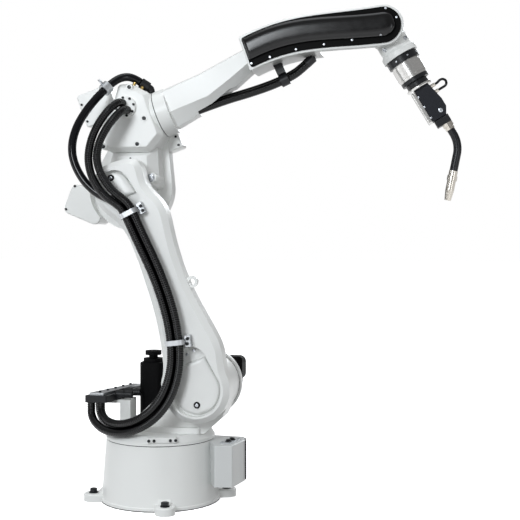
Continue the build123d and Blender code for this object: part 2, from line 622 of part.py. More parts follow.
def lower_arm_outline():
    """Bowed outline from the shoulder hub to the smaller elbow end."""
    front_hub = (0, -ARM_HUB_RADIUS)
    rear_hub = (0, ARM_HUB_RADIUS)
    tip = (LOWER_LENGTH + ARM_TOP_RADIUS, 0)
    rear_tip = (LOWER_LENGTH, ARM_TOP_RADIUS)
    crown_mid = (LOWER_LENGTH + ARM_TOP_RADIUS * cos(radians(45)), ARM_TOP_RADIUS * sin(radians(45)))
    front_points = [front_hub, *map(arm_point, ARM_FRONT_SHARES), tip]
    rear_points = [rear_tip, *map(arm_point, ARM_REAR_SHARES), rear_hub]
    front = Spline(front_points, tangents=[(1, 0), (0, 1)])
    crown = ThreePointArc(tip, crown_mid, rear_tip)
    rear = Spline(rear_points, tangents=[(-1, 0), (-1, 0)])
    heel = ThreePointArc(rear_hub, (-ARM_HUB_RADIUS, 0), front_hub)
    return make_face([front, crown, rear, heel])


def shoulder_pocket(shrink):
    """Pear-shaped recess over the shoulder hub."""
    big = ARM_HUB_RADIUS - ARM_RIM - shrink
    lobe = POCKET_LOBE_SHARE * (ARM_HUB_RADIUS - ARM_RIM) - shrink
    spot = Pos(POCKET_REACH_SHARE * ARM_HUB_RADIUS, -POCKET_SIDE_SHARE * ARM_HUB_RADIUS)
    return make_hull((Circle(big) + spot * Circle(lobe)).edges())


def elbow_pocket(shrink):
    """Rounded recess over the elbow end."""
    big = ARM_TOP_RADIUS - ARM_RIM - shrink
    lobe = POCKET_LOBE_SHARE * (ARM_TOP_RADIUS - ARM_RIM) - shrink
    spot = Pos(-ELBOW_REACH_SHARE * ARM_TOP_RADIUS, -ELBOW_SIDE_SHARE * ARM_HUB_RADIUS)
    return Pos(LOWER_LENGTH, 0) * make_hull((Circle(big) + spot * Circle(lobe)).edges())


def lower_arm_casting():
    """Cast lower arm with faceted edges, a recess at each end and a lifting eye."""
    body = slab(lower_arm_outline(), ARM_NEAR_Y, ARM_FAR_Y)
    body = chamfer(near_edges(body), ARM_FACET)
    body += drum(ARM_HUB_RADIUS * ARM_BOSS_SHARE, ARM_FAR_Y, SHOULDER_FACE_Y - JOINT_GAP)
    body += drum(ARM_TOP_RADIUS * ARM_BOSS_SHARE, ARM_FAR_Y, ELBOW_NEAR_Y - JOINT_GAP, x=LOWER_LENGTH)
    eye_x = EYE_ALONG_SHARE * LOWER_LENGTH
    eye_y = -EYE_ACROSS_SHARE * ARM_HUB_RADIUS
    eye_middle = (ARM_NEAR_Y + ARM_FAR_Y) / 2
    eye_near = eye_middle - EYE_HALF_THICKNESS
    eye_far = eye_middle + EYE_HALF_THICKNESS
    body += drum(EYE_RADIUS, eye_near, eye_far, eye_x, eye_y)
    body -= drum(EYE_HOLE_RADIUS, eye_near - EYE_RADIUS, eye_far + EYE_RADIUS, eye_x, eye_y)
    floor_y = ARM_NEAR_Y + ARM_POCKET_DEPTH
    body -= slab(shoulder_pocket(0), ARM_NEAR_Y - CUT_OVERRUN, floor_y)
    body -= slab(elbow_pocket(0), ARM_NEAR_Y - CUT_OVERRUN, floor_y)
    return LOWER * body


def pocket_cover(pocket):
    """Shallow cover screwed to the floor of a recess."""
    floor_y = ARM_NEAR_Y + ARM_POCKET_DEPTH
    cover = slab(pocket(COVER_CLEARANCE), floor_y - ARM_COVER_THICKNESS, floor_y)
    return LOWER * fillet(near_edges(cover), ARM_COVER_THICKNESS / 3)


def case_outline(grow):
    """Round elbow case drawn up to the underside of the forearm socket."""
    spots = Sketch() + Circle(ELBOW_CASE_RADIUS + grow)
    for x, y in scaled(CASE_TOP_SHARES, ELBOW_OFFSET, ELBOW_OFFSET):
        spots += Pos(x, y) * Circle(CASE_TOP_RADIUS + grow)
    return make_hull(spots.edges())


def elbow_casting():
    """Elbow housing with the elbow drum below and the forearm socket in front."""
    body = faceted_block(scaled(HOUSING_SHARES, ELBOW_OFFSET, ELBOW_OFFSET), HOUSING_NEAR_Y, HOUSING_FAR_Y,
                         HOUSING_FACET_DEPTH, HOUSING_FACET_INSET, HOUSING_CORNER)
    body += faceted_block(scaled(NECK_SHARES, ELBOW_OFFSET, ELBOW_OFFSET), NECK_NEAR_Y, ELBOW_SPLIT_Y,
                          NECK_FACET_DEPTH, NECK_FACET_INSET, NECK_CORNER)
    body += drum(ELBOW_DRUM_RADIUS, ELBOW_NEAR_Y, ELBOW_SPLIT_Y)
    for x, y in scaled(SCREW_BOSS_SHARES, ELBOW_OFFSET, ELBOW_OFFSET):
        body += drum(SCREW_BOSS_RADIUS, HOUSING_NEAR_Y - SCREW_BOSS_PROUD, SCREW_BOSS_FAR_Y, x, y)
    stop_x, stop_y = (share * ELBOW_OFFSET for share in STOP_BOSS_SHARES)
    body += drum(STOP_BOSS_RADIUS, STOP_BOSS_NEAR_Y, ELBOW_SPLIT_Y, stop_x, stop_y)
    ring_start = SEAM_ALONG - SEAM_GROOVE - SOCKET_RING
    socket = shaft(SEAM_RADIUS - SEAM_GROOVE, SOCKET_REAR_ALONG, ring_start)
    socket += shaft(SEAM_RADIUS, ring_start, SEAM_ALONG - SEAM_GROOVE)
    socket += shaft(SEAM_REGISTER_RADIUS, SOCKET_REAR_ALONG, SEAM_ALONG - JOINT_GAP)
    case_seat = slab(case_outline(JOINT_GAP), ELBOW_SPLIT_Y, ELBOW_CASE_FAR_Y)
    return ELBOW * body + FOREARM * socket - ELBOW * case_seat


def elbow_gear_case(casting):
    case = slab(case_outline(0), ELBOW_SPLIT_Y, ELBOW_CASE_FAR_Y)
    return ELBOW * fillet(far_edges(case), GEAR_CASE_FILLET) - casting


def elbow_motor():
    """Elbow motor under its cover, behind the gear case."""
    shape = RectangleRounded(ELBOW_MOTOR_LENGTH, ELBOW_MOTOR_HEIGHT, MOTOR_CORNER)
    shape = Pos(-ELBOW_MOTOR_BACK, -ELBOW_MOTOR_DROP) * (Rot(0, 0, ELBOW_MOTOR_TURN_DEG) * shape)
    cover = slab(shape, ELBOW_MOTOR_NEAR_Y, ELBOW_MOTOR_FAR_Y)
    cover = fillet(near_edges(cover), COVER_BOX_CORNER / 2)
    room = drum(ELBOW_CASE_RADIUS, ELBOW_MOTOR_NEAR_Y - CUT_OVERRUN, ELBOW_MOTOR_FAR_Y + CUT_OVERRUN)
    return ELBOW * (cover - room)


def cover_box(along, length, low, height, near_y, far_y):
    """Sheet cover box in the forearm's frame, with rounded corners."""
    shape = RectangleRounded(length, height, COVER_BOX_CORNER)
    box = slab(Pos(along + length / 2, low + height / 2) * shape, near_y, far_y)
    return FOREARM * fillet(near_edges(box), COVER_BOX_CORNER / 2)


def rear_motor_cover(casting):
    """Box over the wrist motors, on the back of the elbow housing."""
    box = cover_box(REAR_COVER_ALONG, REAR_COVER_LENGTH, REAR_COVER_LOW, REAR_COVER_HEIGHT, REAR_COVER_NEAR_Y,
                    REAR_COVER_FAR_Y)
    return box - casting


def roll_motor_cover(casting, case):
    """Box over the forearm roll motor, below the socket on the far side."""
    box = cover_box(ROLL_COVER_ALONG, ROLL_COVER_LENGTH, ROLL_COVER_LOW, ROLL_COVER_HEIGHT, ROLL_COVER_NEAR_Y,
                    ROLL_COVER_FAR_Y)
    return box - casting - case


def hose_gland():
    """Round flange where the two ribbed hoses enter the elbow."""
    flange = drum(GLAND_RADIUS, HOUSING_NEAR_Y - GLAND_THICKNESS, HOUSING_NEAR_Y, GLAND_X, GLAND_RISE)
    return ELBOW * fillet(near_edges(flange), GLAND_FILLET)


def nose_touch(point, radius, side):
    """Where a straight from a point meets the round nose (side 1 above, -1 below), and its direction."""
    run = FOREARM_LENGTH - point[0]
    aim = atan2(-point[1], run) + side * asin(radius / hypot(run, point[1]))
    return (FOREARM_LENGTH - side * radius * sin(aim), side * radius * cos(aim)), (cos(aim), sin(aim))


def humped_outline(start, top_grow, bottom_grow, end_radius):
    """Humped outline of the belt drive from a squared start to a round nose at the wrist axis."""
    mid = COVER_START + COVER_MID_SHARE * COVER_LENGTH
    rise = (cos(radians(COVER_START_DEG)), sin(radians(COVER_START_DEG)))
    start_top = (start, COVER_START_TOP + top_grow)
    start_bottom = (start, COVER_START_BOTTOM - bottom_grow)
    mid_top = (mid, COVER_MID_TOP + top_grow)
    mid_bottom = (mid, COVER_MID_BOTTOM - bottom_grow)
    top_end, top_fall = nose_touch(mid_top, end_radius, 1)
    bottom_end, bottom_fall = nose_touch(mid_bottom, end_radius, -1)
    top = Spline([start_top, mid_top, top_end], tangents=[rise, top_fall])
    nose = ThreePointArc(top_end, (FOREARM_LENGTH + end_radius, 0), bottom_end)
    low = Spline([start_bottom, mid_bottom, bottom_end], tangents=[rise, bottom_fall])
    face = make_face([top, nose, low, Line(start_bottom, start_top)])
    return fillet(face.vertices().group_by(Axis.X)[0], COVER_CORNER)


def beam_points(top_shares, bottom_shares):
    """Beam outline corners from shares of the seam-to-cover run and of the seam radius."""
    run = COVER_START - SEAM_ALONG
    return [(SEAM_ALONG + x * run, y * SEAM_RADIUS) for x, y in (*top_shares, *bottom_shares)]


def forearm_beam():
    """Cast beam from the forearm seam to the offset plate that carries the wrist."""
    body = shaft(SEAM_RADIUS, SEAM_ALONG, SEAM_ALONG + BEAM_ROUND_LENGTH)
    outline = polygon(beam_points(BEAM_TOP_SHARES, BEAM_BOTTOM_SHARES))
    face = polygon(beam_points(BEAM_TOP_FACE_SHARES, BEAM_BOTTOM_FACE_SHARES))
    facet_y = BEAM_HALF_DEPTH - BEAM_FACET_DEPTH
    beam = slab(outline, -facet_y, facet_y)
    beam += loft([Pos(0, 0, facet_y) * outline, Pos(0, 0, BEAM_HALF_DEPTH) * face], ruled=True)
    beam += loft([Pos(0, 0, -facet_y) * outline, Pos(0, 0, -BEAM_HALF_DEPTH) * face], ruled=True)
    plate = humped_outline(COVER_START - PLATE_RIM, PLATE_RIM, PLATE_RIM, COVER_END_RADIUS + PLATE_RIM)
    front = slab(plate, PLATE_NEAR_Y, BEAM_HALF_DEPTH)
    fork_reach = FOREARM_LENGTH + 2 * COVER_END_RADIUS - BEAM_FRONT
    fork_cut = Pos(BEAM_FRONT + fork_reach / 2, 0) * Rectangle(fork_reach, 4 * COVER_MID_TOP)
    front -= slab(fork_cut, PLATE_FAR_Y, BEAM_HALF_DEPTH + CUT_OVERRUN)
    front = fillet(near_edges(front), PLATE_FILLET)
    channel_length = BEAM_FRONT - SEAM_ALONG - CHANNEL_START
    channel = Rectangle(channel_length, 2 * SEAM_RADIUS)
    channel = Pos(BEAM_FRONT - channel_length / 2, CHANNEL_TOP - SEAM_RADIUS) * channel
    beam -= slab(channel, -CHANNEL_HALF_WIDTH, CHANNEL_HALF_WIDTH)
    return FOREARM * (body + beam + front)


def belt_cover():
    """Moulded belt cover: a flat screwed rim with a raised, rounded panel."""
    rim = slab(humped_outline(COVER_START, 0, 0, COVER_END_RADIUS), COVER_RIM_Y, PLATE_NEAR_Y)
    raised = humped_outline(COVER_START + PANEL_START_MARGIN, -PANEL_TOP_MARGIN, -PANEL_BOTTOM_MARGIN,
                            COVER_END_RADIUS - PANEL_END_MARGIN)
    panel = fillet(near_edges(slab(raised, COVER_NEAR_Y, COVER_RIM_Y)), PANEL_FILLET)
    return FOREARM * (fillet(near_edges(rim), RIM_FILLET) + panel)


def wrist_housing():
    """Wrist casting that swings on the plate, with a flared nose for the tool flange."""
    hub = drum(WRIST_DRUM_RADIUS, PLATE_FAR_Y + JOINT_GAP, WRIST_FAR_Y)
    hub = fillet(far_edges(hub), WRIST_FILLET)
    lip_start = WRIST_NOSE_ALONG - WRIST_LIP
    flare_start = lip_start - WRIST_LIP / 2
    nose = turned(((0, WRIST_NOSE_RADIUS), (flare_start, WRIST_NOSE_RADIUS), (lip_start, WRIST_LIP_RADIUS),
                   (WRIST_NOSE_ALONG, WRIST_LIP_RADIUS)))
    return TOOL * (hub + nose)


def wrist_ring():
    groove = WRIST_NOSE_ALONG + RING_GROOVE
    return TOOL * turned(((WRIST_NOSE_ALONG, RING_RADIUS - RING_GROOVE), (groove, RING_RADIUS - RING_GROOVE),
                          (groove, RING_RADIUS), (RING_END_ALONG, RING_RADIUS)))


def tool_flange():
    """Turned flange on the last joint, relieved at both ends."""
    start = RING_END_ALONG + JOINT_GAP
    band_start = start + FLANGE_BAND
    band_end = FLANGE_END_ALONG - FLANGE_BAND
    relief = FLANGE_RADIUS - CHAMFER
    return TOOL * turned(((start, relief), (band_start, relief), (band_start, FLANGE_RADIUS),
                          (band_end, FLANGE_RADIUS), (band_end, relief), (FLANGE_END_ALONG, relief)))


def shock_collar():
    """Breakaway collar between the flange and the torch clamp."""
    step = FLANGE_END_ALONG + COLLAR_STEP
    return TOOL * turned(((FLANGE_END_ALONG, COLLAR_RADIUS), (step, COLLAR_RADIUS),
                          (step + CHAMFER, COLLAR_WAIST_RADIUS), (COLLAR_END_ALONG, COLLAR_WAIST_RADIUS)))


def torch_clamp_ring():
    bevel = CLAMP_RING_RADIUS - CHAMFER
    return TOOL * turned(((COLLAR_END_ALONG, bevel), (COLLAR_END_ALONG + CHAMFER, CLAMP_RING_RADIUS),
                          (CLAMP_RING_END_ALONG - CHAMFER, CLAMP_RING_RADIUS), (CLAMP_RING_END_ALONG, bevel)))


def torch_body():
    """Flat torch carrier with a bulged side."""
    bulge_start = CLAMP_RING_END_ALONG + TORCH_BULGE_SHARES[0] * TORCH_BODY_LENGTH
    bulge_end = CLAMP_RING_END_ALONG + TORCH_BULGE_SHARES[1] * TORCH_BODY_LENGTH
    outline = polygon([(CLAMP_RING_END_ALONG, TORCH_BODY_LEFT), (CLAMP_RING_END_ALONG, TORCH_BODY_RIGHT),
                       (bulge_start, TORCH_BODY_BULGE), (bulge_end, TORCH_BODY_BULGE),
                       (TORCH_BODY_END, TORCH_BODY_RIGHT), (TORCH_BODY_END, TORCH_BODY_LEFT)])
    block = slab(outline, -TORCH_BODY_DEPTH / 2, TORCH_BODY_DEPTH / 2)
    return TOOL * fillet(near_edges(block), TORCH_EDGE / 2)


def torch_side_plate():
    """Machined plate that the torch carrier is screwed to."""
    length = TORCH_BODY_LENGTH - TORCH_PLATE_START
    middle = CLAMP_RING_END_ALONG + TORCH_PLATE_START + length / 2
    shape = Rectangle(length, TORCH_PLATE_THICKNESS)
    shape = Pos(middle, TORCH_BODY_LEFT - TORCH_PLATE_THICKNESS / 2) * shape
    plate = slab(shape, -TORCH_PLATE_DEPTH / 2, TORCH_PLATE_DEPTH / 2)
    return TOOL * fillet(near_edges(plate), TORCH_EDGE)


def torch_plugs(body):
    """Two plugs on the torch carrier that the sensing lead joins."""
    pair = Part()
    for along in PLUG_ALONGS:
        pair += Pos(along, 0, PLUG_SIDE) * (Rot(-90, 0, 0) * Cylinder(
            PLUG_RADIUS, PLUG_TOP, align=(Align.CENTER, Align.CENTER, Align.MIN)))
    return TOOL * pair - body


def torch_grip():
    shape = Pos(TORCH_BODY_END + GRIP_LENGTH / 2, (GRIP_LEFT + GRIP_RIGHT) / 2) * Rectangle(
        GRIP_LENGTH, GRIP_RIGHT - GRIP_LEFT)
    return TOOL * fillet(near_edges(slab(shape, -GRIP_DEPTH / 2, GRIP_DEPTH / 2)), TORCH_EDGE)


def torch_fitting():
    """Swan-neck fitting: a wide nut and a narrower sleeve."""
    nut_end = GRIP_END + FITTING_LENGTH / 2
    profile = ((GRIP_END, FITTING_RADIUS), (nut_end, FITTING_RADIUS), (nut_end, FITTING_NUT_RADIUS),
               (NECK_START, FITTING_NUT_RADIUS))
    return TOOL * turned(profile, y=NECK_SIDE)


def neck_path():
    run = Line((NECK_START, NECK_SIDE), (NECK_START + NECK_STRAIGHT, NECK_SIDE))
    bend = JernArc(run @ 1, run % 1, NECK_BEND_RADIUS, -NECK_BEND_DEG)
    tail = Line(bend @ 1, (bend @ 1) + (bend % 1) * NECK_TAIL)
    return Wire([run, bend, tail])


def tube(path, radius):
    return sweep(Plane(origin=path @ 0, z_dir=path % 0) * Circle(radius), path)


def tip_frame(path):
    return Location(Plane(origin=path @ 1, z_dir=path % 1))


def nozzle_holder(path):
    """Nut and seat at the end of the neck."""
    step = NOZZLE_HOLDER_LENGTH / 2
    side = polygon([(0, 0), (NOZZLE_RADIUS, 0), (NOZZLE_RADIUS, step), (NOZZLE_HOLDER_RADIUS, step),
                    (NOZZLE_HOLDER_RADIUS, NOZZLE_HOLDER_LENGTH), (0, NOZZLE_HOLDER_LENGTH)])
    return TOOL * (tip_frame(path) * revolve(Plane.XZ * side, Axis.Z))


def gas_nozzle(path):
    inner = NOZZLE_LENGTH - NOZZLE_BORE_DEPTH
    side = polygon([(0, 0), (NOZZLE_RADIUS, 0), (NOZZLE_RADIUS, NOZZLE_LENGTH / 2),
                    (NOZZLE_TIP_RADIUS, NOZZLE_LENGTH), (NOZZLE_BORE_RADIUS, NOZZLE_LENGTH),
                    (NOZZLE_BORE_RADIUS, inner), (0, inner)])
    body = Pos(0, 0, NOZZLE_HOLDER_LENGTH) * revolve(Plane.XZ * side, Axis.Z)
    return TOOL * (tip_frame(path) * body)


def route_radii(points):
    """Largest tangent arc that the runs beside each corner of a hose route allow."""
    corners = [Vector(*p) for p in points]
    radii = []
    for before, corner, after in zip(corners, corners[1:], corners[2:]):
        turn = (corner - before).get_angle(after - corner)
        run = min((corner - before).length, (after - corner).length)
        radii.append(HOSE_CORNER_SHARE * run / tan(radians(turn) / 2))
    return radii


def routed_tube(points, radius):
    """Straight runs joined by tangent arcs."""
    return tube(FilletPolyline(*points, radius=route_radii(points)), radius)


def bundle_clamp(place, step):
    """Strap round the three hoses at one end of the lower arm, with a screwed block in front of them."""
    ends = [Vector(*HOSE_ROUTES[f"hose_{key}_arm"][place]) for key in "abc"]
    middle = (ends[0] + ends[1]) / 2
    down = (Vector(*HOSE_ROUTES["hose_a_arm"][place + step]) - ends[0]) * step
    plane = Plane(origin=middle, x_dir=(0, 1, 0), z_dir=down)
    spots = [plane.to_local_coords(point) for point in ends]
    reach = ARM_NEAR_Y - middle.Y
    hollow = HOSE_RADIUS + HOSE_FIT
    cavity = make_hull((Sketch() + [Pos(s.X, s.Y) * Circle(hollow) for s in spots]).edges())
    shell = make_hull((Sketch() + [Pos(s.X, s.Y) * Circle(hollow + CLAMP_WALL) for s in spots[:2]]).edges())
    half_width = (ends[0] - ends[1]).length / 2 + hollow + CLAMP_WALL
    shell += Pos(reach / 2, 0) * Rectangle(reach, 2 * half_width)
    mouth = reach - spots[2].X + CUT_OVERRUN
    cavity += Pos(spots[2].X + mouth / 2, spots[2].Y) * Rectangle(mouth, 2 * hollow)
    strap = extrude(shell - cavity, amount=CLAMP_HALF_LENGTH, both=True)
    block_side = half_width + (CLAMP_BLOCK_WIDTH - CLAMP_WALL) / 2
    block = Pos(reach - CLAMP_BLOCK_HEIGHT / 2, block_side) * Rectangle(CLAMP_BLOCK_HEIGHT, CLAMP_BLOCK_WIDTH)
    return plane.location * (strap + extrude(block, amount=CLAMP_BLOCK_HALF_LENGTH, both=True))


def top_hose_clamp(casting):
    """Ring on the elbow's top corner that the smooth hose turns over."""
    first, second = (Vector(*p) for p in HOSE_ROUTES["hose_c_top"][:2])
    plane = Plane(origin=first, z_dir=second - first)
    hole = HOSE_RADIUS + HOSE_FIT
    ring = extrude(Circle(hole + TOP_CLAMP_WALL) - Circle(hole), amount=TOP_CLAMP_HALF_LENGTH, both=True)
    return plane.location * ring - casting


def end_gland(name, radius):
    """Straight gland on the last end of a hose."""
    before, last = (Vector(*p) for p in HOSE_ROUTES[name][-2:])
    plane = Plane(origin=last, z_dir=last - before)
    return plane.location * extrude(Circle(radius), amount=CABLE_GLAND_LENGTH)


def forearm_gland(beam):
    """Pair of glands where the forearm hoses go into its underside."""
    pair = end_gland("hose_d_forearm", HOSE_RADIUS) + end_gland("hose_e_forearm", HOSE_RADIUS)
    return pair - beam


def forearm_hose_clip(beam):
    """Two-hose clip on a post under the forearm."""
    before, after = (Vector(*p) for p in HOSE_ROUTES["hose_d_forearm"][3:5])
    other = Vector(*HOSE_ROUTES["hose_e_forearm"][3])
    plane = Plane(origin=before + (after - before) * CLIP_PLACE_SHARE, x_dir=(0, 1, 0), z_dir=after - before)
    step = plane.to_local_coords(other + (after - before) * CLIP_PLACE_SHARE)
    hole = HOSE_RADIUS + HOSE_FIT
    body = make_hull((Circle(hole + CLIP_WALL) + Pos(step.X, step.Y) * Circle(hole + CLIP_WALL)).edges())
    body -= Circle(hole)
    body -= Pos(step.X, step.Y) * Circle(hole)
    post_height = COVER_MID_TOP - hole
    post = Pos(step.X / 2, step.Y + hole + post_height / 2) * Rectangle(2 * CLIP_POST_HALF, post_height)
    clip = extrude(body + post, amount=CLIP_HALF_LENGTH, both=True)
    return plane.location * clip - beam


def build():
    base = base_casting()
    box = connector_box(base)
    bar = hose_manifold()
    elbow = elbow_casting()
    elbow_case = elbow_gear_case(elbow)
    beam = forearm_beam()
    carrier = torch_body()
    path = neck_path()
    nodes = {
        "base_casting": base,
        "connector_box": box,
        "connector_door": connector_door(box),
        "turret_casting": turret_casting(),
        "shoulder_gear_case": shoulder_gear_case(),
        "waist_motor": waist_motor(),
        "waist_motor_cap": waist_motor_cap(),
        "shoulder_motor": shoulder_motor(),
        "shoulder_motor_cap": shoulder_motor_cap(),
        "manifold_bracket": manifold_bracket(),
        "hose_manifold": bar,
        "manifold_rail": manifold_rail(),
        "manifold_connectors": manifold_connectors(bar),
        "lower_arm_casting": lower_arm_casting(),
        "shoulder_cover": pocket_cover(shoulder_pocket),
        "elbow_end_cover": pocket_cover(elbow_pocket),
        "elbow_casting": elbow,
        "elbow_gear_case": elbow_case,
        "elbow_motor": elbow_motor(),
        "rear_motor_cover": rear_motor_cover(elbow),
        "roll_motor_cover": roll_motor_cover(elbow, elbow_case),
        "hose_gland": hose_gland(),
        "lower_hose_clamp": bundle_clamp(-1, -1),
        "upper_hose_clamp": bundle_clamp(0, 1),
        "top_hose_clamp": top_hose_clamp(elbow),
        "top_cable_gland": end_gland("hose_c_top", HOSE_RADIUS + TOP_CLAMP_WALL / 2) - elbow,
        "forearm_beam": beam,
        "forearm_gland": forearm_gland(beam),
        "forearm_hose_clip": forearm_hose_clip(beam),
        "belt_cover": belt_cover(),
        "wrist_housing": wrist_housing(),
        "wrist_ring": wrist_ring(),
        "tool_flange": tool_flange(),
        "shock_collar": shock_collar(),
        "torch_clamp_ring": torch_clamp_ring(),
        "torch_body": carrier,
        "torch_side_plate": torch_side_plate(),
        "torch_plugs": torch_plugs(carrier),
        "torch_lead": TOOL * routed_tube(LEAD_ROUTE, LEAD_RADIUS),
        "torch_grip": torch_grip(),
        "torch_fitting": torch_fitting(),
        "torch_neck": TOOL * tube(path, NECK_RADIUS),
        "nozzle_holder": nozzle_holder(path),
        "gas_nozzle": gas_nozzle(path),
    }
    for name, points in HOSE_ROUTES.items():
        nodes[name] = routed_tube(points, HOSE_RADIUS)
    return nodes


os.makedirs("parts", exist_ok=True)
for name, shape in build().items():
    export_step(shape, os.path.join("parts", name + ".step"))
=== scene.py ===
"""Looks of a floor-standing arc-welding robot arm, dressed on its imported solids."""
from functools import partial
import json
import math
import bpy
from mathutils import Matrix, Vector


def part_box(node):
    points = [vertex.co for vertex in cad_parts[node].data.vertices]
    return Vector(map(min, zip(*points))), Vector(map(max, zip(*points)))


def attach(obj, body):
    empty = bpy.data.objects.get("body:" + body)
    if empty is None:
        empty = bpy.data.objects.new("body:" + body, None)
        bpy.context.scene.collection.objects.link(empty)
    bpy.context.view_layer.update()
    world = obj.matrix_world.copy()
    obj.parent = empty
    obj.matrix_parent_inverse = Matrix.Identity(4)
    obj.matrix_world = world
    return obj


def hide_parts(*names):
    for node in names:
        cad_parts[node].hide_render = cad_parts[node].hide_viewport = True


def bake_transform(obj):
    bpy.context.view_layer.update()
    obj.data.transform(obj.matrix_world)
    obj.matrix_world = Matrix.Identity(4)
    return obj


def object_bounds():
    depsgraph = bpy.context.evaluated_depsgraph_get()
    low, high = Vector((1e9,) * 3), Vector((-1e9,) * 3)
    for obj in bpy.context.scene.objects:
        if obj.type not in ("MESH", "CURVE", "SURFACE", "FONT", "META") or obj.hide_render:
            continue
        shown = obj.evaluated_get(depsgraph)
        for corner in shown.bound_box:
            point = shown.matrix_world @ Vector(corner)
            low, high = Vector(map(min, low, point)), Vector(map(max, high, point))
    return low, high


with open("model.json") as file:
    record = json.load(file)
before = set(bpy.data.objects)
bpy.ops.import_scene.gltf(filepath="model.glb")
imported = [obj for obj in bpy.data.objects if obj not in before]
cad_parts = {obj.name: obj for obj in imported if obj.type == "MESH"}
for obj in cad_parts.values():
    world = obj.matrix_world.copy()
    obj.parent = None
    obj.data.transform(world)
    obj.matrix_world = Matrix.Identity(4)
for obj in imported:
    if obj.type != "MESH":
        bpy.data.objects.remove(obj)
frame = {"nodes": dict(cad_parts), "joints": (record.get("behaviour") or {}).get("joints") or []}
cad_low, cad_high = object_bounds()


# The studio: a level camera four metres off and turned a few degrees from square, a pale matt floor
# that glows a little, as a lit sweep does, a surround that is bright above and dark below, and five
# soft lights: one overhead, one on each side in front, a narrow strip on the left and one behind.
CAMERA_TURN = 9.5
CAMERA_PLACE = (1.0477, -4.0071, 1.007)
CAMERA_LENS = 76.15
CAMERA_SENSOR = 36
CAMERA_DROP_SHARE = 31 / 520
scene = bpy.context.scene
camera_data = bpy.data.cameras.new("camera")
camera_data.lens = CAMERA_LENS
camera_data.sensor_width = CAMERA_SENSOR
camera_data.shift_y = -CAMERA_DROP_SHARE
camera = bpy.data.objects.new("camera", camera_data)
camera.location = CAMERA_PLACE
camera.rotation_euler = (math.radians(90), 0, math.radians(CAMERA_TURN))
scene.collection.objects.link(camera)
scene.camera = camera
scene.view_settings.view_transform = "Standard"


def linear(code):
    """An sRGB hex colour as linear red, green, blue and alpha."""
    parts = [int(code[i:i + 2], 16) / 255 for i in (1, 3, 5)]
    return tuple(p / 12.92 if p <= 0.04045 else ((p + 0.055) / 1.055) ** 2.4 for p in parts) + (1.0,)


def add(tree, kind, inputs=None, **settings):
    """Adds one shader node with its settings; an input given as a socket is linked, any other is set."""
    node = tree.nodes.new("ShaderNode" + kind)
    for name, value in settings.items():
        setattr(node, name, value)
    for name, value in (inputs or {}).items():
        if isinstance(value, bpy.types.NodeSocket):
            tree.links.new(value, node.inputs[name])
        else:
            node.inputs[name].default_value = value
    return node


SURROUND_WHITE = "#ffffff"
SURROUND_LOW = 0.02
SURROUND_HIGH = 0.62
world = bpy.data.worlds.new("studio_surround")
world.use_nodes = True
air = world.node_tree
air.nodes.clear()
light_path = add(air, "LightPath")
sky = add(air, "TexCoord")
height = add(air, "SeparateXYZ", {"Vector": sky.outputs["Generated"]})
shade = add(air, "MapRange", {"Value": height.outputs["Z"], "From Min": -1.0, "From Max": 1.0,
                              "To Min": SURROUND_LOW, "To Max": SURROUND_HIGH})
glow = add(air, "Background", {"Color": linear(SURROUND_WHITE), "Strength": shade.outputs[0]})
backdrop = add(air, "Background", {"Color": linear(SURROUND_WHITE), "Strength": 1.0})
seen = add(air, "MixShader", {0: light_path.outputs["Is Camera Ray"], 1: glow.outputs[0],
                              2: backdrop.outputs[0]})
add(air, "OutputWorld", {"Surface": seen.outputs[0]})
scene.world = world


def new_finish(name):
    """A new material with an empty node tree."""
    material = bpy.data.materials.new(name)
    material.use_nodes = True
    material.node_tree.nodes.clear()
    return material, material.node_tree


# Matt floor paint gives an even pale ground, with broad patches that differ only just.
MM = 0.001
FLOOR_SIZE = 60.0
FLOOR_WHITE = "#f6f6f6"
FLOOR_SHADE = "#f1f1f1"
FLOOR_ROUGHNESS = 0.8
FLOOR_SPECULAR = 0.2
FLOOR_GLOW = 0.8
FLOOR_PATCH = 400.0
bpy.ops.object.select_all(action="DESELECT")
bpy.ops.mesh.primitive_plane_add(size=FLOOR_SIZE)
floor = bpy.context.object
floor.name = "studio_floor"
floor_paint, tree = new_finish("pale_matt_floor_paint")
place = add(tree, "TexCoord")
patches = add(tree, "TexNoise", {"Vector": place.outputs["Object"], "Scale": 1 / (FLOOR_PATCH * MM),
                                 "Detail": 2.0})
tone = add(tree, "MixRGB", {0: patches.outputs["Fac"], 1: linear(FLOOR_WHITE), 2: linear(FLOOR_SHADE)})
shader = add(tree, "BsdfPrincipled", {"Base Color": tone.outputs[0], "Roughness": FLOOR_ROUGHNESS,
                                      "Specular IOR Level": FLOOR_SPECULAR,
                                      "Emission Color": linear(FLOOR_WHITE), "Emission Strength": FLOOR_GLOW})
add(tree, "OutputMaterial", {"Surface": shader.outputs[0]})
floor.data.materials.append(floor_paint)
floor.visible_diffuse = False

